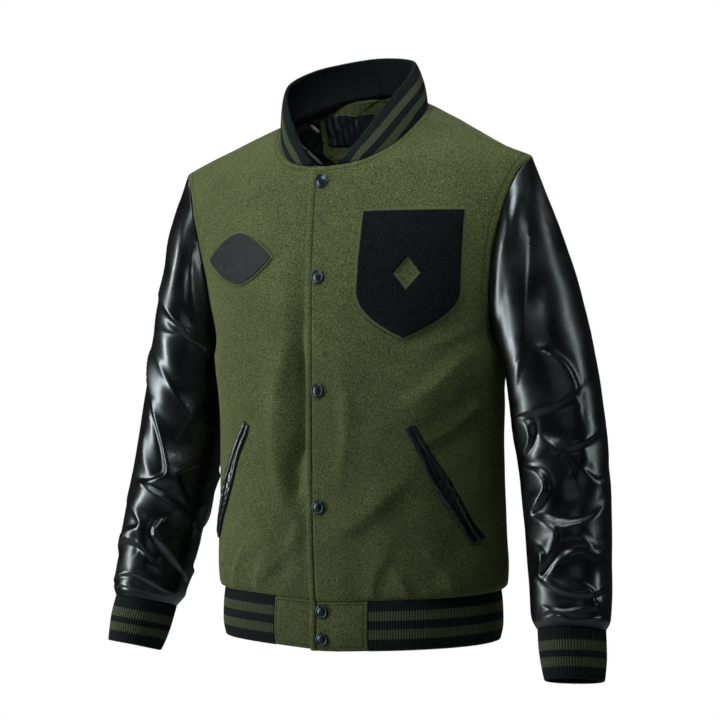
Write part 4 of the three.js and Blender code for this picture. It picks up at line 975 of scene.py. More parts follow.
def metal():
    if "metal" in MATERIALS:
        return MATERIALS["metal"]
    colours = bpy.context.scene.jacket_colours
    material, tree, shader = new_material("Gunmetal", (*colours.metal, 1), Metallic=1.0)
    place = object_place(tree)
    cloud = noise(tree, place, 120.0, 2.0)
    tone = blend_colours(tree, cloud, shaded(colours.metal, 0.8), shaded(colours.metal, 1.25))
    tree.links.new(tone, shader.inputs["Base Color"])
    tree.links.new(mapped(tree, cloud, 0.3, 0.7, 0.3, 0.42), shader.inputs["Roughness"])
    MATERIALS["metal"] = material
    return material


def lining():
    return satin("Black lining", bpy.context.scene.jacket_colours.lining, True)


def finish_piece(piece, node_name):
    """Names the body a piece rides on and the node that it replaces."""
    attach(piece, "root")
    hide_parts(node_name)
    return piece


# Wool body

# Extra rows close to the hem seam and the shoulder point
SEAM_ROWS = [0.05, 0.1, 0.2, SHOULDER - 0.03]
BODY_ROW_STOPS = np.unique(np.concatenate([np.linspace(0, SHOULDER, 170), SEAM_ROWS]))
BODY_COLUMN_STOPS = close_stops(66, 0.03, 5)


def wool_half(panel):
    """Half of the body's wool: its outer and inner side, the way out and the stitch map along its seams."""
    p = mirror(panel_point(panel, BODY_ROW_STOPS[:, None], BODY_COLUMN_STOPS[None, :]), panel.side)
    outward = p - np.array([0, 20, 0])
    outward[..., 2] = 40
    n = grid_normals(p, outward)
    p = p + n * sum(ripple(p, scale, seed) * height for scale, seed, height in WOOL_WAVES)[..., None]
    edge_arm = p[BODY_ROW_STOPS >= ARMPIT][:, -1]
    edge_neck = p[BODY_ROW_STOPS >= NECK][:, 0]
    d_arm, s_arm = distance_to_line(p, edge_arm[::2])
    d_neck, s_neck = distance_to_line(p, edge_neck)
    near_neck = d_neck + 1.5 < d_arm
    stitch = np.stack([np.where(near_neck, d_neck + 1.5, d_arm), np.where(near_neck, s_neck, s_arm)], -1)
    seam = np.minimum(d_arm, d_neck)
    p = p - n * (SEAM_DIP * np.exp(-(seam / SEAM_WIDTH) ** 2))[..., None]
    return p, p - n * WOOL, outward, stitch


def panel_shell(name, panel):
    """A front of wool with its lining side."""
    outer, inner, outward, stitch = wool_half(panel)
    uv = np.stack([path_lengths(outer, 1), path_lengths(outer, 0)], -1)
    return shell(name, settle(outer), settle(inner), outward, (wool(True), lining()), uv=uv, stitch=stitch)


def back_shell(name):
    """The back in one piece: two halves that share the centre line up to the neck."""
    halves = []
    for panel in (LEFT_BACK, RIGHT_BACK):
        outer, inner, outward, stitch = wool_half(panel)
        halves.append((outer, inner, face_out(outer, grid_faces(*outer.shape[:2], False), outward), stitch))
    points, faces, face_material, stitch = [], [], [], []
    shared_rows = int((BODY_ROW_STOPS <= NECK + 1e-9).sum())
    rows, cols = halves[0][0].shape[:2]
    count = rows * cols
    centre = np.arange(shared_rows) * cols
    for h, (outer, inner, quads, chart) in enumerate(halves):
        points += [outer.reshape(-1, 3), inner.reshape(-1, 3)]
        stitch += [chart.reshape(-1, 2)] * 2
        ids = np.arange(2 * count) + 2 * count * h
        if h == 1:
            ids[centre] = centre
            ids[centre + count] = centre + count
        faces += [ids[quads], ids[quads[:, ::-1] + count]]
        face_material += [np.zeros(len(quads), int), np.ones(len(quads), int)]
    points, stitch = np.concatenate(points), np.concatenate(stitch)
    middle = np.concatenate([centre, centre + count])
    other = middle + 2 * count
    points[middle] = (points[middle] + points[other]) / 2
    outer_faces = np.concatenate([faces[0], faces[2]])
    sides = np.concatenate([outer_faces[:, [k, (k + 1) % 4]] for k in range(4)])
    known = {(a, b) for a, b in sides.tolist()}
    rim = [(b, a, a + count, b + count) for a, b in known if (b, a) not in known]
    rim.sort()
    faces.append(np.array(rim))
    face_material.append(np.zeros(len(rim), int))
    everything = np.concatenate(faces)
    used = np.unique(everything)
    renumber = np.zeros(len(points), int)
    renumber[used] = np.arange(len(used))
    cloths = (wool(True), lining())
    index = np.concatenate(face_material)
    points, faces, stitch = settle(points[used]), renumber[everything], stitch[used] * MM
    return mesh_object(name, points, faces, cloths, index, stitch=stitch)


# Leather sleeves

# How deep the leather sinks at the armhole's seam, and over how much of the first row
ARMHOLE_DIP = 1.7
ARMHOLE_DIP_ROWS = 0.07
# How sharp the crest of a sleeve's large fold is, and how far round from a point a crease can reach it
FOLD_CREST = 1.6
TURN_REACH = 330


def ring_point(table, t, a):
    """Points of a sleeve or cuff at rows t and turns a, from the outer line round by the front."""
    t, a = np.broadcast_arrays(np.asarray(t, float), np.asarray(a, float))

    def read(key):
        return column(table, SLEEVE_NAMES, key, t)

    zero = np.zeros(t.shape)
    outer = np.stack([read("ox"), zero, read("oz")], -1)
    inner = np.stack([read("ix"), zero, read("iz")], -1)
    centre = (outer + inner) / 2
    centre[..., 1] = read("y")
    across = (outer - inner) / 2
    half = read("half")
    fore = np.stack([zero, -half, half * read("pitch")], -1)
    return centre + across * np.cos(a)[..., None] + fore * np.sin(a)[..., None]


def sleeve_height(t, a, side):
    """Height of the folds and creases at rows t and turns a in degrees."""
    fade = smooth(t / 1.2) * smooth((len(SLEEVE) - 1 - t) / 0.6)
    total = np.zeros(np.broadcast(t, a).shape)
    for turn in (a - 360, a, a + 360):
        for t0, a0, t1, a1, bow, width, height in SLEEVE_FOLDS[side]:
            bend = bow * (ROW_LENGTH if abs(bow) < 2 else 1)
            ends = (t0 * ROW_LENGTH, a0 * TURN_LENGTH, t1 * ROW_LENGTH, a1 * TURN_LENGTH)
            x, y = t * ROW_LENGTH, turn * TURN_LENGTH
            total = total + fold_height(x, y, *ends, bend, width, height, FOLD_CREST)
    total = total * FOLD_SHARE
    for turn in (a - 360, a, a + 360):
        for curve, soft, steep, height in SLEEVE_CREASES[side]:
            points = [(row * ROW_LENGTH, degrees * TURN_LENGTH) for row, degrees in curve]
            if abs(turn.mean() * TURN_LENGTH - np.mean(points, 0)[1]) > TURN_REACH:
                continue
            x, y = np.broadcast_arrays(t * ROW_LENGTH, turn * TURN_LENGTH)
            total = total + crease_height(x, y, points, soft, steep, height)
    return fade * total


def armhole_point(front, back, a):
    """The armhole's outer line at turn a: down the front and up the back."""
    stops = BODY_ROWS[BODY_ROWS >= ARMPIT - 1e-9][::-1]
    half = len(stops) - 1
    f = np.asarray(a) / math.pi * half
    t_front = np.interp(np.clip(f, 0, half), np.arange(half + 1), stops)
    t_back = np.interp(np.clip(f - half, 0, half), np.arange(half + 1), stops[::-1])
    on_front = panel_point(front, t_front, np.ones_like(t_front))
    on_back = panel_point(back, t_back, np.ones_like(t_back))
    return np.where((f <= half)[..., None], on_front, on_back)


def sleeve_shell(name, side):
    """A sleeve that starts on the armhole's line, with its folds and creases."""
    front, back = (LEFT_FRONT, LEFT_BACK) if side > 0 else (RIGHT_FRONT, RIGHT_BACK)
    t = np.unique(np.concatenate([np.linspace(0, len(SLEEVE) - 1, 210), np.linspace(0, 0.12, 7)]))[:, None]
    a = np.linspace(0, 2 * math.pi, 144, endpoint=False)[None, :]
    ring = ring_point(SLEEVE, t, a)
    middle = (ring_point(SLEEVE, t, 0 * a) + ring_point(SLEEVE, t, 0 * a + math.pi)) / 2
    shift = armhole_point(front, back, a[0]) - ring_point(SLEEVE, 0 * a[0], a[0])
    height = sleeve_height(t, np.degrees(a), side)
    p = ring + unit(ring - middle) * height[..., None]
    p = p + shift[None] * (1 - smooth(t / BLEND_ROWS))[..., None]
    outward = p - (middle + shift.mean(0) * (1 - smooth(t / BLEND_ROWS))[..., None])
    n = grid_normals(p, outward, True)
    p = mirror(p, side)
    n = mirror(n, side)
    outward = mirror(outward, side)
    p = p + n * ((ripple(p, 55, 8) * 0.4 + ripple(p, 20, 9) * 0.06) * smooth(t / 0.6))[..., None]
    p = p - n * (ARMHOLE_DIP * (1 - smooth(t / ARMHOLE_DIP_ROWS)))[..., None]
    inner = p - n * LEATHER
    return shell(name, p, inner, outward, (leather(), lining()), wrap=True)


# Rib trims


def hem_line(q):
    """The hem seam of the wearer's left half, from the centre front (0) by the side (1) to the back (2)."""
    q = np.asarray(q, float)
    front = body_point(HEM_FRONT, np.zeros_like(q), np.clip(q, 0, 1))
    back = body_point(LEFT_BACK, np.zeros_like(q), np.clip(2 - q, 0, 1))
    return np.where((q <= 1)[..., None], front, back)


# How far the hem's outer face stands out at four even heights down the rib, and the rib's height
HEM_NAMES = ("out",)
HEM = ((-0.7,), (1.2,), (1.6,), (-1.4,))
HEM_HEIGHT = 58


def hem_point(q, v, raised=0.0):
    """Points of the hem and the way out there, at places q round it and shares v down it."""
    q, v = np.broadcast_arrays(np.asarray(q, float), np.asarray(v, float))
    ahead, behind = hem_line(np.minimum(q + 0.004, 2)), hem_line(np.maximum(q - 0.004, 0))
    step = ahead - behind
    out = unit(np.stack([step[..., 1], -step[..., 0], np.zeros(q.shape)], -1))
    p = hem_line(q) + out * (column(HEM, HEM_NAMES, "out", v * (len(HEM) - 1)) + raised)[..., None]
    p[..., 2] -= GAP + v * HEM_HEIGHT
    return p, out


def hem_round(v, q):
    """The hem right round, from the centre front (0) by the wearer's left to the centre front again (4)."""
    left, left_out = hem_point(np.where(q <= 2, q, 4 - q), v)
    side = np.where(q <= 2, 1.0, -1.0)
    flip = np.stack([side, np.ones_like(side), np.ones_like(side)], -1)
    return left * flip, left_out * flip


def solve(rises, value, low, high):
    """Where a rising function has a value."""
    for _ in range(40):
        middle = (low + high) / 2
        if rises(middle) < value:
            low = middle
        else:
            high = middle
    return (low + high) / 2


def hem_at_x(x):
    """The place round the hem that is this far to the side of the centre front."""
    return solve(lambda q: float(hem_line(q)[0]), x, 0, 0.9)


def even_stops(curve, start, end, count):
    """Stops at equal lengths along a curve, and its whole length."""
    fine = np.linspace(start, end, 2001)
    lengths = np.concatenate([[0], np.cumsum(np.linalg.norm(np.diff(curve(fine), axis=0), axis=-1))])
    return np.interp(np.linspace(0, lengths[-1], count), lengths, fine), lengths[-1]


# Steps of the surface across one rib, down each side of a band and round its folded edge
RIB_STEPS = 6
RIB_ROWS = 11
RIB_TURNS = 7
# Height of a rib over its valleys, and how far the valleys are sunk
RIB_DEPTH = 0.9
RIB_SUNK = 0.3


def rib_band(name, surface, start, end, wrap, stripes, pitch, allowance=0.0, plain_inside=False):
    """A rib-knit band folded over at its free edge. surface(v, s) gives points and outward directions.

    allowance is how far the inner side reaches below the seam."""
    _, length = even_stops(lambda s: surface(0.5 + 0 * s, s)[0], start, end, 2)
    count = round(length / pitch) * RIB_STEPS
    s, _ = even_stops(lambda q: surface(0.5 + 0 * q, q)[0], start, end, count + 1)
    if wrap:
        s = s[:-1]
    cols = len(s)
    k = np.arange(cols)
    wave = np.abs(np.cos(math.pi * k / RIB_STEPS)) ** 0.8
    line = np.linspace(0, 1, RIB_ROWS)
    turn = np.linspace(0, math.pi, RIB_TURNS + 2)[1:-1]
    levels = np.concatenate([line, np.ones(RIB_TURNS), line[::-1]])
    angle = np.concatenate([np.zeros(RIB_ROWS), turn, np.full(RIB_ROWS, math.pi)])
    v = levels[:, None]
    p, out = surface(v + 0 * s[None], s[None] + 0 * v)
    tip, _ = surface(np.ones((1, cols)), s[None])
    root, _ = surface(np.zeros((1, cols)), s[None])
    tall = np.linalg.norm(tip - root, axis=-1)
    up = unit(tip - root)
    radius = np.minimum(RIB / 2, tall / 2)[0]
    centre = p - out * radius[None, :, None] - up * (radius * (levels == 1)[:, None])[..., None]
    raise_by = radius + (wave * RIB_DEPTH - RIB_SUNK)[None]
    away, along = np.cos(angle)[:, None], np.sin(angle)[:, None]
    q = centre + out * (away * raise_by)[..., None] + up * (along * raise_by)[..., None]
    outward = out * away[..., None] + up * along[..., None]
    q[-1] = q[-1] - up[0] * allowance - out[-1] * allowance * 0.7
    from_free = np.clip(1 - levels, 0, 1)[:, None] * np.maximum(tall, 1)
    if plain_inside:
        from_free = np.where(angle[:, None] > math.pi / 2 - 0.1, 0, from_free)
    stripe_stops = np.concatenate([[0], stripes, [stripes[-1] + 30]])
    chart = np.stack([
        np.broadcast_to(k[None] / RIB_STEPS / MM, from_free.shape),
        np.interp(from_free, stripe_stops, np.arange(len(stripe_stops))),
    ], -1)
    grid = grid_faces(len(levels), cols, wrap)
    faces = face_out(q, grid, outward)
    turned = faces[0, 0] != grid[0, 0]
    ids = np.arange(len(levels) * cols).reshape(len(levels), cols)
    first, last = ids[0], ids[-1]
    if wrap:
        first, last = np.append(first, first[0]), np.append(last, last[0])
    base = np.stack([first[:-1], first[1:], last[1:], last[:-1]], -1)
    faces = np.concatenate([faces, base if turned else base[:, ::-1]])
    faces = [tuple(f) for f in faces.tolist()]
    if not wrap:
        end_a, end_b = ids[:, 0].tolist(), ids[:, -1].tolist()
        faces.append(tuple(end_a if turned else end_a[::-1]))
        faces.append(tuple(end_b[::-1] if turned else end_b))
    if name == "hem_rib_knit":
        q = settle(q)
    return mesh_object(name, q.reshape(-1, 3), faces, (rib_knit(),), uv=chart.reshape(-1, 2) * MM)


# How far the tabs reach from the centre front, and where the band ends on the lapping edge
TAB_LEFT_END = 56
TAB_RIGHT_END = 69
BAND_INNER = BAND - OVERLAP


def tab_surface(over):
    """A placing function for a tab of the hem: the one that laps over, or the one below it."""

    def place(v, q, height):
        p, _ = hem_point(q, v, height - WOOL)
        if over:
            p[..., 1] -= lift_at(hem_line(q + 0 * v)[..., 0])
            return p
        return mirror(p, -1)

    return place


def wool_strip(name, place, rows, cols, heights, stitch_at=None):
    """A strip of wool from a placing function, with rounded edges."""
    r, c = rows[:, None], cols[None, :]
    outer = place(r + 0 * c, c + 0 * r, np.broadcast_to(heights, (len(rows), len(cols))))
    inner = place(r + 0 * c, c + 0 * r, np.zeros((len(rows), len(cols))))
    outward = outer - inner
    x, z = path_lengths(outer, 1), path_lengths(outer, 0)
    if stitch_at is None:
        stitch = np.stack([np.full(x.shape, float(NO_STITCH)), z], -1)
    else:
        right, foot = x[:, -1:] - x, z[-1:] - z
        near = np.minimum(np.minimum(right, foot), z)
        along = np.where(near == right, z, x)
        stitch = np.stack([near + STITCH_AT - stitch_at, along], -1)
    return shell(name, settle(outer), settle(inner), outward, (wool(True),), stitch=stitch)


def tab_strip(name, over, start, end):
    """A wool tab of the hem between two places round it, rounded towards its edges."""
    v = np.unique(np.concatenate([np.linspace(0, 1, 40), [0.006, 0.015, 0.985, 0.994]]))
    share = close_stops(50, 0.03, 4)
    q = start + (end - start) * share
    round_q = 1 - np.exp(-np.minimum(share, 1 - share) / 0.012)
    round_v = 1 - np.exp(-np.minimum(v, 1 - v) / 0.014)
    heights = WOOL * (0.45 + 0.55 * round_q[None] * round_v[:, None])
    return wool_strip(name, tab_surface(over), v, q, heights, TAB_STITCH)


# How high the bound edge stands at shares of its width
BAND_SHARES = np.array([0, 0.06, 0.16, 0.3, 0.5, 0.7, 0.82, 0.9, 0.95, 1])
BAND_RISE = np.array([0.4, 1.6, 2.5, 3.1, 3.3, 3.2, 2.9, 2.3, 1.6, 0.6]) + 0.2
# Distance of a tab's stitch row from its edges
TAB_STITCH = 5


def band_surface(r, c, height):
    """The bound front edge. r runs down from the neck row to 0, then through the hem from 0 to -1."""
    x = -OVERLAP + BAND * c
    upper = np.maximum(r, 0)
    lower = np.clip(-r, 0, 1)
    p = panel_point(LEFT_WHOLE, upper, share_at(LEFT_WHOLE, upper, x))
    q = hem_at_x(BAND_INNER) * c
    foot = tab_surface(True)(lower, q, np.zeros(x.shape) + WOOL)
    base = np.where((r >= 0)[..., None], p, foot)
    return base + np.array([0, -1, 0]) * (height - WOOL)[..., None]


# Collar

# The collar's free edge from the front end to the centre back, by rows of the neck seam
COLLAR_NAMES = ("row", "x", "y", "z")
COLLAR = np.array([
    (10, -17, -71, -60),
    (10.53, 15, -71, -57),
    (11, 37, -59, -31),
    (12, 60, -41, 4),
    (13, 82, -4, 48),
    (14, 69, 42, 72),
    (15, 38, 68, 83),
    (16, 0, 78, 88),
])
# How far the collar's ends stand from the centre front, how far it bulges in its middle and how far it leans
# to the wearer's right
COLLAR_END = 16
COLLAR_BULGE = 3
COLLAR_LEAN = 4
# The free edge is rounded this close to the centre back, by these shares in depth and height
CENTRE_ROUNDING = 10
ROUNDED_DEPTH = 0.26
ROUNDED_HEIGHT = 0.13
CENTRE_BACK = 2 * SHOULDER - NECK


def neck_line(front, row):
    """The neck seam from the centre front over the shoulder point to the centre back."""
    on_front = np.clip(row, NECK, SHOULDER)
    on_back = np.clip(2 * SHOULDER - row, NECK, SHOULDER)
    zero = np.zeros_like(row)
    a, b = panel_point(front, on_front, zero), panel_point(LEFT_BACK, on_back, zero)
    return np.where((row <= SHOULDER)[..., None], a, b)


def collar_top(row):
    """The collar's free edge at rows of the neck seam."""
    share = np.interp(row, COLLAR[:, 0], np.arange(len(COLLAR)))
    return np.stack([column(COLLAR, COLLAR_NAMES, key, share) for key in "xyz"], -1)


def collar_half(front, v, row, side):
    """Points and ways out of half the collar, at shares v up from the seam."""

    def at(r):
        r = np.minimum(r, CENTRE_BACK)
        base, top = neck_line(front, r), collar_top(r)
        base = base + unit(top - base) * GAP
        return base + (top - base) * v[..., None]

    p = at(row)
    along = at(row + 0.02) - at(row - 0.02)
    rise = collar_top(row) - neck_line(front, row)
    out = unit(np.cross(along, rise))
    flip = np.sign((out * (p * np.array([1, 1, 0]) - np.array([0, 5, 0]))).sum(-1, keepdims=True))
    out = out * flip
    out[..., 0] *= smooth((CENTRE_BACK - row) / 0.5)
    out = unit(out)
    p = p.copy()
    rounded = v * (np.hypot(p[..., 0], CENTRE_ROUNDING) - np.abs(p[..., 0]))
    p[..., 1] -= ROUNDED_DEPTH * rounded
    p[..., 2] -= ROUNDED_HEIGHT * rounded
    p[..., 0] -= side * COLLAR_LEAN * v * smooth((row - NECK) / 3)
    p = p + out * (COLLAR_BULGE * 4 * v * (1 - v) * smooth((row - NECK) / 2))[..., None]
    return p, out


def collar_round(v, row):
    """The whole collar, from the wearer's left end round the back to the right one."""
    v, row = np.broadcast_arrays(np.asarray(v, float), np.asarray(row, float))
    near, near_out = collar_half(LEFT_WHOLE, v, np.minimum(row, CENTRE_BACK), 1)
    far, far_out = collar_half(HEM_FRONT, v, np.minimum(2 * CENTRE_BACK - row, CENTRE_BACK), -1)
    first = (row <= CENTRE_BACK)[..., None]
    return np.where(first, near, mirror(far, -1)), np.where(first, near_out, mirror(far_out, -1))


def cuff_round(side):
    """A placing function for a cuff."""

    def place(v, a):
        v, a = np.broadcast_arrays(np.asarray(v, float), np.asarray(a, float))
        t = v * (len(CUFF) - 1)
        p = ring_point(CUFF, t, a)
        centre = (ring_point(CUFF, t, 0 * a) + ring_point(CUFF, t, 0 * a + math.pi)) / 2
        out = unit((p - centre) * np.array([1, 1, 0]))
        return mirror(p, side), mirror(out, side)

    return place


# Things that lie on the fronts


# Step in rows and shares over which the slope of a panel is measured
SLOPE_STEP = 2e-3


def facing_out(panel, n):
    """Normals of a panel, turned to its outer side."""
    toward = 1 if panel.name == "back" else -1
    return n * np.where(n[..., 1:2] * toward < 0, -1, 1)


def on_panel(panel, x, z, height):
    """Points at a height over a panel, where it has the sideways place x and the level z."""
    x, z = np.broadcast_arrays(np.asarray(x, float), np.asarray(z, float))
    low, high = np.zeros(x.shape), np.full(x.shape, float(SHOULDER))
    for _ in range(30):
        t = (low + high) / 2
        *_, angle, start, _ = section(panel, t)
        under = (body_point(panel, t, share_at(panel, t, x))[..., 2] < z) & (angle(x) >= start - 1e-9)
        low, high = np.where(under, t, low), np.where(under, high, t)
    u = share_at(panel, t, x)
    step = SLOPE_STEP
    p = panel_point(panel, t, u)
    along = panel_point(panel, t + step, u) - panel_point(panel, np.maximum(t - step, 0), u)
    across = panel_point(panel, t, np.minimum(u + step, 1)) - panel_point(panel, t, np.maximum(u - step, 0))
    n = facing_out(panel, unit(np.cross(along, across)))
    return mirror(p + n * np.asarray(height)[..., None], panel.side), mirror(n, panel.side)


def laid_shell(name, panel, x, z, base, top, materials, wrap=False, settled=False):
    """A flat piece laid on a panel: x, z is its grid on the front view, top its height at each point."""
    outer, n = on_panel(panel, x, z, base + top)
    inner, _ = on_panel(panel, x, z, np.full(x.shape, float(base)))
    if settled:
        outer, inner = settle(outer), settle(inner)
    return shell(name, outer, inner, n, materials, wrap=wrap)


# Ends of the pocket's slit in the front view, the width of a lip, and how far the slit stands open at its
# middle and at its ends
POCKET_TOP = (108, -361)
POCKET_FOOT = (173, -494)
LIP = 5.5
GAPE = 5
SLIT = 1.4


def pocket_grid(r, c):
    """Places in the front view at shares r down the slit and c millimetres across it."""
    dx, dz = POCKET_FOOT[0] - POCKET_TOP[0], POCKET_FOOT[1] - POCKET_TOP[1]
    length = math.hypot(dx, dz)
    return POCKET_TOP[0] + dx * r - dz / length * c, POCKET_TOP[1] + dz * r + dx / length * c


def gape_at(r):
    """How wide the slit stands open at a share of its length."""
    return SLIT + GAPE * np.exp(-(((r - 0.52) / 0.2) ** 2))


# How high a lip and the pocketing lie over the wool, and the pocket's shares along the slit
LIP_BASE = 1.2
BAG_BASE = 0.5
POCKET_ROWS = close_stops(120, 0.02, 5)[:, None]


def lip_shell(name, panel, sign, rumple):
    """A leather lip on one side of the slit, wrinkled most where the slit stands open."""
    r, c = POCKET_ROWS, np.linspace(0, 1, 14)[None]
    x, z = pocket_grid(r + 0 * c, sign * (gape_at(r) / 2 + c * LIP))
    crown = np.sin(np.pi * np.clip(c * 0.96 + 0.02, 0, 1)) ** 0.5
    ends = 1 - np.exp(-np.minimum(r, 1 - r) / 0.012)
    open_part = np.exp(-(((r - 0.55) / 0.26) ** 2))
    waves = np.sin(r * 52 + c * 2 + 7 * np.sin(r * 9)) * np.sin(np.pi * c)
    wrinkle = (0.12 + rumple * open_part) * waves
    top = 0.5 + (2.2 * crown + wrinkle) * (0.3 + 0.7 * ends)
    return laid_shell(name, panel, x, z, LIP_BASE, top, (leather(),), settled=True)


def pocketing_shell(name, panel):
    """The pocketing between the lips, pleated where the slit stands open."""
    r, c = POCKET_ROWS, np.linspace(-1, 1, 17)[None]
    x, z = pocket_grid(r + 0 * c, c * (gape_at(r) / 2 - GAP))
    pleat = np.sin(r * 46 + c * 2.2 + 5 * np.sin(r * 11)) * np.exp(-(((r - 0.52) / 0.24) ** 2))
    top = 0.9 + 0.75 * pleat * (1 - c ** 2)
    return laid_shell(name, panel, x, z, BAG_BASE, top, (leather(),), settled=True)


# The shield patch: its middle, half its width, its reach up and down, its diamond window and its lean
SHIELD = dict(x=106, z=-187, half=57, up=72, down=74, window_x=15, window_z=19, lean=0.06)


def shield_edge(a):
    """How far the shield reaches from its middle at a turn."""
    across, rise = np.sin(a), np.cos(a)
    side_at = SHIELD["half"] / np.maximum(np.abs(across), 1e-6)
    above = np.minimum(side_at, SHIELD["up"] / np.maximum(rise, 1e-6))
    low, high = np.zeros(a.shape), np.full(a.shape, SHIELD["down"] * 1.5)
    for _ in range(40):
        r = (low + high) / 2
        h = -r * rise / SHIELD["down"]
        under = np.abs(r * across) / SHIELD["half"] + np.maximum(0, (h - 0.25) / 0.75) ** 2.1 < 1
        low, high = np.where(under, r, low), np.where(under, high, r)
    return np.where(rise >= 0, above, (low + high) / 2)


def window_edge(a):
    """How far the diamond window reaches from the shield's middle at a turn."""
    return 1 / (np.abs(np.sin(a)) / SHIELD["window_x"] + np.abs(np.cos(a)) / SHIELD["window_z"])


def shield_grid(border, rows, turns):
    """Places of the shield in the front view, from the window's edge (0) to the outline (1)."""
    a = np.linspace(0, 2 * math.pi, turns, endpoint=False)
    corner = math.atan2(SHIELD["half"], SHIELD["up"])
    corners = (corner, math.pi / 2, math.pi, 3 * math.pi / 2, 2 * math.pi - corner)
    a = np.unique(np.concatenate([a, corners]))
    r = rows[:, None]
    radius = (window_edge(a) - border) * (1 - r) + (shield_edge(a) + border) * r
    x = SHIELD["x"] + radius * np.sin(a) + SHIELD["lean"] * radius * np.cos(a)
    return x, SHIELD["z"] + radius * np.cos(a)


# Grounds of felt and the faces on them lie at these heights over the wool
GROUND_BASE = 0.9
FACE_BASE = 2.0
SHIELD_BORDER = 3


def shield_ground(name):
    """The felt ground of the shield, with an edge that shows round the pile."""
    rows = np.concatenate([[0, 0.01, 0.03], np.linspace(0.05, 0.95, 36), [0.97, 0.99, 1]])
    x, z = shield_grid(SHIELD_BORDER, rows, 180)
    rim = np.minimum(rows, 1 - rows)[:, None]
    top = 0.35 + 0.75 * (1 - np.exp(-rim / 0.01)) + 0 * x
    return laid_shell(name, LEFT_WHOLE, x, z, GROUND_BASE, top, (felt(),), True)


def shield_pile(name):
    """The chenille of the shield, as rows of soft loops that come down at its edges."""
    inner_rows, outer_rows = [0, 0.004, 0.012, 0.025], [0.975, 0.988, 0.996, 1]
    rows = np.concatenate([inner_rows, np.linspace(0.04, 0.96, 84), outer_rows])
    x, z = shield_grid(0, rows, 340)
    rim = np.minimum(rows, 1 - rows)[:, None]
    flat = np.stack([x, z, 0 * x], -1)
    across, down = (way * 0.85 + ripple(flat, 9, seed) * 1.6 for way, seed in ((x, 31), (z, 32)))
    loops = np.abs(np.sin(across)) * np.abs(np.sin(down))
    top = (1 - np.exp(-rim / 0.014)) * (1.9 + 0.7 * loops + 0.25 * ripple(flat, 22, 33)) + 0.2
    return laid_shell(name, LEFT_WHOLE, x, z, FACE_BASE, top, (chenille(),), True)


# The pointed oval patch: its middle, half its width and height, how pointed it is and its height at the tips
OVAL = dict(x=118, z=-165, half=51, high=30, point=1.7, tip=0.5)


def oval_grid(border, r, c):
    """Places of the oval in the front view, at shares of its width and height."""
    reach = OVAL["half"] + border * 1.6
    rise = (OVAL["high"] + border) * (1 - np.abs(r) ** OVAL["point"]) + OVAL["tip"]
    return OVAL["x"] + r * reach + 0 * c, OVAL["z"] + c * rise


def oval_shell(name, border, base, material):
    """The ground or the face of the pointed oval patch."""
    r = np.unique(np.concatenate([np.linspace(-1, 1, 84), [-0.995, 0.995]]))[:, None]
    c = close_stops(36, 0.03, 4)[None] * 2 - 1
    x, z = oval_grid(border, r, c)
    rim = np.minimum(1 - np.abs(c), (1 - np.abs(r)) * 2)
    top = 0.3 + 0.7 * (1 - np.exp(-rim / 0.03)) + 0 * x
    return laid_shell(name, RIGHT_FRONT, x, z, base, top, (material,))


# Level of each snap and how far its cap lies over the wool, then the cap's outline as radius and height
SNAPS = ((-78, 0.6), (-190, 0.6), (-322, 0.6), (-457, 0.6), (-579, 0.4), (-611, -0.3))
SNAP_OUTLINE = (
    (0.01, 0), (8.2, 0), (8.4, 0.5), (8.35, 1.1), (8.1, 1.6), (7.5, 2.1), (6.7, 2.3), (6.1, 2.15), (5.8, 1.8),
    (5.5, 1.65), (5.1, 1.8), (4.3, 2.15), (3.2, 2.4), (1.8, 2.6), (0.01, 2.68),
)


def lathe(name, outline, place, out, materials, segments=64):
    """A round piece turned about an axis, from radius and height pairs."""
    turn = np.linspace(0, 2 * math.pi, segments, endpoint=False)
    side = unit(np.cross(out, [0, 0, 1]))
    rise = np.cross(side, out)
    spokes = np.cos(turn)[:, None] * side + np.sin(turn)[:, None] * rise
    grid = np.stack([place + out * h + spokes * r for r, h in outline])
    outward = grid - (place + out)
    faces = face_out(grid, grid_faces(len(outline), segments, True), outward)
    return mesh_object(name, grid.reshape(-1, 3), faces, materials)


# Settings, operators and the panel


def colour_setting(name, description, default):
    return bpy.props.FloatVectorProperty(
        name=name, description=description, default=default, subtype="COLOR", size=3, min=0, max=1,
    )


class JacketColours(bpy.types.PropertyGroup):
    wool: colour_setting("Wool", "Olive of the body", (0.046, 0.058, 0.0185))
    leather: colour_setting("Leather", "Black of the sleeves", (0.0016, 0.0019, 0.0022))
    rib: colour_setting("Rib", "Dark navy of the rib trims", (0.0040, 0.0070, 0.0076))
    stripe: colour_setting("Stripe", "Olive of the rib stripes", (0.050, 0.062, 0.034))
    lining: colour_setting("Lining", "Black of the lining", (0.004, 0.0045, 0.006))
    label: colour_setting("Label", "Navy of the bare label", (0.0022, 0.0040, 0.0070))
    felt: colour_setting("Felt", "Olive of the patches' edges", (0.062, 0.080, 0.034))
    chenille: colour_setting("Chenille", "Dark navy of the patches", (0.0011, 0.0025, 0.0031))
    metal: colour_setting("Metal", "Dark metal of the snaps", (0.03, 0.04, 0.045))


class JacketSizes(bpy.types.PropertyGroup):
    rib_pitch: bpy.props.FloatProperty(
        name="Rib pitch", description="Width of one rib of the knit in millimetres",
        default=3.2, min=2, max=8,
    )
    camera_distance: bpy.props.FloatProperty(
        name="Camera distance", description="From the jacket's middle", default=2.2, unit="LENGTH",
    )
    camera_turn: bpy.props.FloatProperty(
        name="Camera turn", description="Round from the front to the wearer's left",
        default=math.radians(27), subtype="ANGLE",
    )


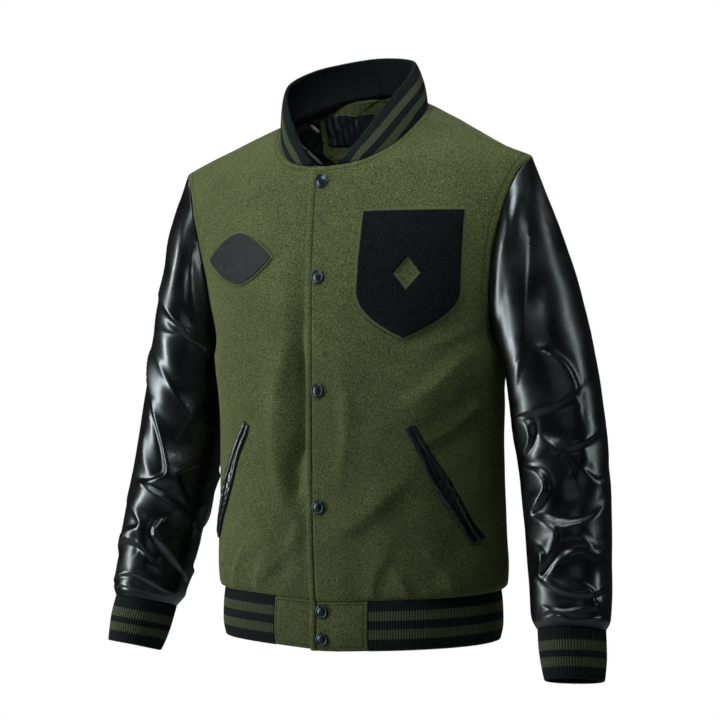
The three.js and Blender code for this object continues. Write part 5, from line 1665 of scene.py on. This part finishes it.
class JACKET_OT_body(bpy.types.Operator):
    """Make the two wool fronts and the back"""
    bl_idname = "jacket.body"
    bl_label = "Wool body"

    def execute(self, context):
        left = finish_piece(panel_shell("wool_front_left", LEFT_FRONT), "front_left")
        right = finish_piece(panel_shell("wool_front_right", RIGHT_FRONT), "front_right")
        back = finish_piece(back_shell("wool_back"), "back")
        return {"FINISHED"}


class JACKET_OT_sleeves(bpy.types.Operator):
    """Make both leather sleeves with their folds"""
    bl_idname = "jacket.sleeves"
    bl_label = "Leather sleeves"

    def execute(self, context):
        for name, side in (("left", 1), ("right", -1)):
            piece = finish_piece(sleeve_shell(f"leather_sleeve_{name}", side), f"sleeve_{name}")
        return {"FINISHED"}


class JACKET_OT_ribs(bpy.types.Operator):
    """Knit the collar, both cuffs and the hem rib"""
    bl_idname = "jacket.ribs"
    bl_label = "Rib trims"

    def execute(self, context):
        pitch = context.scene.jacket_sizes.rib_pitch
        start, end = hem_at_x(TAB_LEFT_END + GAP), 4 - hem_at_x(TAB_RIGHT_END + GAP)
        hem = rib_band("hem_rib_knit", hem_round, start, end, False, (14, 25, 35, 45), pitch)
        finish_piece(hem, "hem_rib")
        first = solve(lambda r: float(neck_line(LEFT_WHOLE, np.array([r]))[0, 0]), COLLAR_END, NECK, NECK + 1)
        collar = rib_band("collar_knit", collar_round, first, 2 * CENTRE_BACK - first, False,
                          (12, 21, 30, 39), pitch, 3, True)
        finish_piece(collar, "collar")
        for name, side in (("left", 1), ("right", -1)):
            stripes = (13, 23, 30, 41)
            cuff = rib_band(f"cuff_knit_{name}", cuff_round(side), 0, 2 * math.pi, True, stripes, pitch)
            finish_piece(cuff, f"cuff_{name}")
        return {"FINISHED"}


class JACKET_OT_edges(bpy.types.Operator):
    """Make the bound front edge and the wool tabs of the hem"""
    bl_idname = "jacket.edges"
    bl_label = "Front edge and tabs"

    def execute(self, context):
        rows = np.concatenate([np.linspace(NECK, 0, 200), -np.linspace(0, 1, 26)[1:]])
        band = wool_strip("front_edge", band_surface, rows, BAND_SHARES, BAND_RISE)
        finish_piece(band, "front_edge_band")
        for name, over, ends in (
            ("left", True, (hem_at_x(BAND_INNER + GAP), hem_at_x(TAB_LEFT_END))),
            ("right", False, (0.0, hem_at_x(TAB_RIGHT_END))),
        ):
            tab = tab_strip(f"hem_tab_wool_{name}", over, *ends)
            finish_piece(tab, f"hem_tab_{name}")
        return {"FINISHED"}


class JACKET_OT_pockets(bpy.types.Operator):
    """Set the leather pocket lips and the dark pocketing between them"""
    bl_idname = "jacket.pockets"
    bl_label = "Welt pockets"

    def execute(self, context):
        for name, panel, rumple in (("left", LEFT_WHOLE, 1.1), ("right", RIGHT_FRONT, 0.25)):
            for part, sign in (("front", -1), ("back", 1)):
                lip = lip_shell(f"pocket_lip_leather_{part}_{name}", panel, sign, rumple)
                finish_piece(lip, f"pocket_lip_{part}_{name}")
            bag = pocketing_shell(f"pocketing_{name}", panel)
            finish_piece(bag, f"pocket_bag_{name}")
        return {"FINISHED"}


class JACKET_OT_snaps(bpy.types.Operator):
    """Set the snap caps down the front"""
    bl_idname = "jacket.snaps"
    bl_label = "Snaps"

    def execute(self, context):
        hem_top = float(hem_line(hem_at_x(0))[2])
        for k, (z, seat) in enumerate(SNAPS):
            if z > hem_top:
                place, out = on_panel(LEFT_WHOLE, np.array([0.0]), np.array([float(z)]), np.array([seat]))
                place, out = place[0], out[0]
            else:
                v = (hem_top - GAP - z) / HEM_HEIGHT
                place = tab_surface(True)(np.array([v]), np.array([hem_at_x(0)]), np.array([WOOL + seat]))[0]
                out = np.array([0, -1.0, 0])
            snap = lathe(f"snap_cap_{k + 1}", SNAP_OUTLINE, place, out, (metal(),))
            finish_piece(snap, f"snap_{k + 1}")
        return {"FINISHED"}


class JACKET_OT_patches(bpy.types.Operator):
    """Lay the two chest patches"""
    bl_idname = "jacket.patches"
    bl_label = "Chest patches"

    def execute(self, context):
        ground = shield_ground("chest_patch_ground")
        finish_piece(ground, "chest_patch_felt")
        pile = shield_pile("chest_patch_pile")
        finish_piece(pile, "chest_patch_chenille")
        for name, border, base, material, slot, node_name in (
            ("oval_patch_ground", 2, GROUND_BASE, felt(), "felt", "oval_patch_felt"),
            ("oval_patch_cover", 0, FACE_BASE, twill(), "chenille", "oval_patch_face"),
        ):
            piece = oval_shell(name, border, base, material)
            finish_piece(piece, node_name)
        return {"FINISHED"}


# Depths inside the wool of the two sides of the satin, in the fronts and in the back
SATIN_FRONT_DEPTHS = (0.8, 1.7)
SATIN_BACK_DEPTHS = (1.1, 2.0)
# The row where the shown lining begins, and the last one on the fronts
SATIN_FROM = 8
SATIN_TO = 12.2
# The wool facing behind the neck: half its width, its lower edge and the neckline above it
FACING_HALF = 82
FACING_FOOT = -52
FACING_X = (0, 45, 77, 92)
FACING_TOP = (41, 35, 20, -1)
# How deep the facing's two sides lie inside the wool, and the label's front over them
FACING_DEPTHS = (3.0, 5.4)
LABEL_DEPTH = FACING_DEPTHS[1] + 1.2
LABEL_THICKNESS = 0.9
# The label's edges in the front view
LABEL_X = (-74, -12)
LABEL_Z = (-16, 22)


def inside_grid(panel, t, u, depth):
    """Points at a depth inside a panel and the ways out there. A share u below 0 is on the other side."""
    p = panel_point(panel, t, np.abs(u))
    step = SLOPE_STEP
    along = p - panel_point(panel, t - step, np.abs(u))
    across = panel_point(panel, t, np.abs(u) + step) - p
    n = facing_out(panel, unit(np.cross(along, across)))
    p = p + n * np.asarray(depth)[..., None]
    side = np.where(u < 0, -panel.side, panel.side)
    flip = np.stack([side, np.ones(u.shape), np.ones(u.shape)], -1)
    return p * flip, n * flip


def satin_shell(name, panel, rows, columns, depths):
    """A satin lining inside a panel, over its rows and shares."""
    t, u = rows[:, None] + 0 * columns[None], columns[None] + 0 * rows[:, None]
    outer, n = inside_grid(panel, t, u, np.full(t.shape, -WOOL - depths[0]))
    inner, _ = inside_grid(panel, t, u, np.full(t.shape, -WOOL - depths[1]))
    return shell(name, outer, inner, n, (lining(),))


def facing_shell(name):
    """The wool facing behind the neck, from its curved lower edge up to the neckline."""
    x = np.linspace(-FACING_HALF, FACING_HALF, 91)[None]
    top = np.interp(np.abs(x), FACING_X, FACING_TOP)
    foot = FACING_FOOT + 26 * (np.abs(x) / FACING_HALF) ** 3
    z = foot + (top - foot) * np.linspace(0, 1, 50)[:, None]
    sides = [on_panel(RIGHT_BACK, np.abs(x) + 0 * z, z, -WOOL - depth) for depth in FACING_DEPTHS]
    flip = np.stack([np.where(x < 0, 1.0, -1.0) + 0 * z, 1 + 0 * z, 1 + 0 * z], -1)
    outer, inner, n = sides[0][0] * flip, sides[1][0] * flip, sides[0][1] * flip
    return shell(name, outer, inner, n, (wool(False),))


def label_shell(name, colour):
    """The bare label over the facing, a little rumpled."""
    x = np.linspace(*LABEL_X, 80)[None]
    z = np.linspace(*LABEL_Z, 40)[:, None]
    x, z = x + 0 * z, z + 0 * x
    rumple = 0.5 * np.sin(x * 0.75 + 1.2 * np.sin(z * 0.12)) + 0.25 * np.sin(x * 0.31)
    depth = rumple - WOOL - LABEL_DEPTH
    outer, n = on_panel(RIGHT_BACK, -x, z, depth)
    inner, _ = on_panel(RIGHT_BACK, -x, z, depth - LABEL_THICKNESS)
    return shell(name, outer, inner, n, (satin("Label satin", colour, False),))


class JACKET_OT_inside(bpy.types.Operator):
    """Line the neck with satin, a wool facing and a bare label"""
    bl_idname = "jacket.inside"
    bl_label = "Inside of the neck"

    def execute(self, context):
        last = BODY_ROWS[BODY_ROWS <= SATIN_TO][-1]
        rows = np.linspace(SATIN_FROM, last, 60)
        for name, panel in (("left", LEFT_FRONT), ("right", RIGHT_FRONT)):
            columns = np.linspace(0.15, 0.88, 40)
            piece = satin_shell(f"satin_front_{name}", panel, rows, columns, SATIN_FRONT_DEPTHS)
            finish_piece(piece, f"lining_front_{name}")
        rows, columns = np.linspace(SATIN_FROM, NECK, 50), np.linspace(-0.87, 0.87, 61)
        piece = satin_shell("satin_back", LEFT_BACK, rows, columns, SATIN_BACK_DEPTHS)
        finish_piece(piece, "lining_back")
        piece = finish_piece(facing_shell("neck_facing"), "back_neck_facing")
        label = label_shell("label_bare", context.scene.jacket_colours.label)
        finish_piece(label, "label")
        return {"FINISHED"}


# The stage, in metres
FLOOR_BELOW = 0.8
FLOOR_RADIUS = 3.2
FLOOR_SEGMENTS = 96
CAMERA_LEVEL = -0.292
FRAME_WIDTH = 0.864
SENSOR = 36
# How far the picture's middle is shifted, in shares of its width
SHIFT_X = 8 / 720
SHIFT_Y = 5 / 720


def light(name, place, target, size, power, spread=180):
    """A soft lamp that looks at a target: its size in metres, power in watts and spread in degrees."""
    data = bpy.data.lights.new(name, "AREA")
    data.shape = "RECTANGLE"
    data.size, data.size_y = size
    data.energy = power
    data.spread = math.radians(spread)
    lamp = bpy.data.objects.new(name, data)
    bpy.context.scene.collection.objects.link(lamp)
    lamp.location = place
    lamp.rotation_mode = "QUATERNION"
    lamp.rotation_quaternion = (Vector(target) - Vector(place)).to_track_quat("-Z", "Y")
    return lamp


def set_camera(scene, back, far):
    """A level camera with a long lens, as far back as its distance says."""
    camera = bpy.data.objects.new("Camera", bpy.data.cameras.new("Camera"))
    scene.collection.objects.link(camera)
    camera.location = back * far + Vector((0, 0, CAMERA_LEVEL))
    camera.rotation_mode = "QUATERNION"
    camera.rotation_quaternion = (-back).to_track_quat("-Z", "Y")
    camera.data.sensor_width = SENSOR
    camera.data.lens = SENSOR * far / FRAME_WIDTH
    camera.data.shift_x = SHIFT_X
    camera.data.shift_y = SHIFT_Y
    camera.data.clip_end = 50
    scene.camera = camera


def camera_sees(tree, others, seen, output):
    """Gives the camera one shader and everything else another."""
    ray = node(tree, "ShaderNodeLightPath").outputs["Is Camera Ray"]
    mix = node(tree, "ShaderNodeMixShader", {0: ray, 1: others.outputs[0], 2: seen.outputs[0]})
    tree.links.new(mix.outputs[0], tree.nodes[output].inputs[0])


def lay_floor(scene):
    """A pale round floor below the jacket that the camera sees as plain white."""
    turns = [2 * math.pi * k / FLOOR_SEGMENTS for k in range(FLOOR_SEGMENTS)]
    ring = [(FLOOR_RADIUS * math.cos(a), FLOOR_RADIUS * math.sin(a), 0) for a in turns]
    mesh = bpy.data.meshes.new("Floor")
    mesh.from_pydata(ring, [], [tuple(range(FLOOR_SEGMENTS))])
    floor = bpy.data.objects.new("Floor", mesh)
    scene.collection.objects.link(floor)
    floor.location = (0, 0, CAD_BOX[0][2] - FLOOR_BELOW)
    material, tree, shader = new_material("Pale floor", (0.9, 0.9, 0.9, 1), Roughness=0.8)
    shader.inputs["Base Color"].default_value = (0.82, 0.82, 0.82, 1)
    glow = node(tree, "ShaderNodeEmission", {"Color": (1, 1, 1, 1), "Strength": 1.0})
    camera_sees(tree, shader, glow, "Material Output")
    mesh.materials.append(material)


def make_studio(scene):
    """A dim cool room that the camera sees as plain white."""
    world = bpy.data.worlds.new("Studio")
    world.use_nodes = True
    tree = world.node_tree
    sky = tree.nodes["Background"]
    sky.inputs[0].default_value = (0.9, 0.95, 1, 1)
    sky.inputs[1].default_value = 0.025
    white = node(tree, "ShaderNodeBackground", {0: (1, 1, 1, 1), 1: 1.0})
    camera_sees(tree, sky, white, "World Output")
    scene.world = world
    scene.view_settings.view_transform = "Standard"


def set_lights(back, right):
    """The lamps, placed from the jacket's middle or neck by steps to the camera, to its right and up."""
    middle = Vector((0, 0, -0.3))
    neck = Vector((0.05, -0.02, -0.09))
    chest = middle + Vector((0, 0, 0.2))

    def off(start, toward, across, up):
        return start + back * toward + right * across + Vector((0, 0, up))

    light("Key", off(middle, 0.8, -0.55, 1.3), chest, (0.55, 0.55), 1.85, 56)
    light("Top", off(middle, 0.3, 0, 2.0), middle, (0.9, 0.5), 13)
    light("Left strip", off(middle, 0.1, -1.5, 0), middle, (0.22, 1.2), 24)
    light("Right strip", off(middle, 0.35, 1.6, 0.3), middle, (0.2, 0.9), 4)
    light("Neck", off(neck, 1.45, 0.6, 0.42), neck, (0.12, 0.12), 0.17, 22)
    light("Back", off(middle, -1.8, 0, 0.9), middle, (1.0, 1.0), 9)
    light("Fill", off(middle, 2.4, 0.7, 0.2), middle, (1.2, 1.0), 2)


class JACKET_OT_stage(bpy.types.Operator):
    """Set the floor, the lights and the camera"""
    bl_idname = "jacket.stage"
    bl_label = "Stage"

    def execute(self, context):
        scene = context.scene
        turn = scene.jacket_sizes.camera_turn
        back = Vector((math.sin(turn), -math.cos(turn), 0))
        right = Vector((math.cos(turn), math.sin(turn), 0))
        set_camera(scene, back, scene.jacket_sizes.camera_distance)
        lay_floor(scene)
        make_studio(scene)
        set_lights(back, right)
        return {"FINISHED"}


class JACKET_PT_panel(bpy.types.Panel):
    """Makes the jacket piece by piece"""
    bl_idname = "JACKET_PT_panel"
    bl_label = "Varsity jacket"
    bl_space_type = "VIEW_3D"
    bl_region_type = "UI"
    bl_category = "Jacket"

    def draw(self, context):
        layout = self.layout
        for name in ("wool", "leather", "rib", "stripe", "lining", "label", "felt", "chenille", "metal"):
            layout.prop(context.scene.jacket_colours, name)
        for name in ("rib_pitch", "camera_distance", "camera_turn"):
            layout.prop(context.scene.jacket_sizes, name)
        for operator in OPERATORS:
            layout.operator(operator.bl_idname)


OPERATORS = (
    JACKET_OT_stage,
    JACKET_OT_body,
    JACKET_OT_sleeves,
    JACKET_OT_ribs,
    JACKET_OT_edges,
    JACKET_OT_pockets,
    JACKET_OT_snaps,
    JACKET_OT_patches,
    JACKET_OT_inside,
)
CLASSES = (JacketColours, JacketSizes, *OPERATORS, JACKET_PT_panel)


def register():
    for cls in CLASSES:
        bpy.utils.register_class(cls)
    bpy.types.Scene.jacket_colours = bpy.props.PointerProperty(type=JacketColours)
    bpy.types.Scene.jacket_sizes = bpy.props.PointerProperty(type=JacketSizes)


def unregister():
    del bpy.types.Scene.jacket_sizes
    del bpy.types.Scene.jacket_colours
    for cls in reversed(CLASSES):
        bpy.utils.unregister_class(cls)


def main():
    register()
    for operator in OPERATORS:
        group, name = operator.bl_idname.split(".")
        getattr(getattr(bpy.ops, group), name)()


if __name__ == "__main__":
    main()
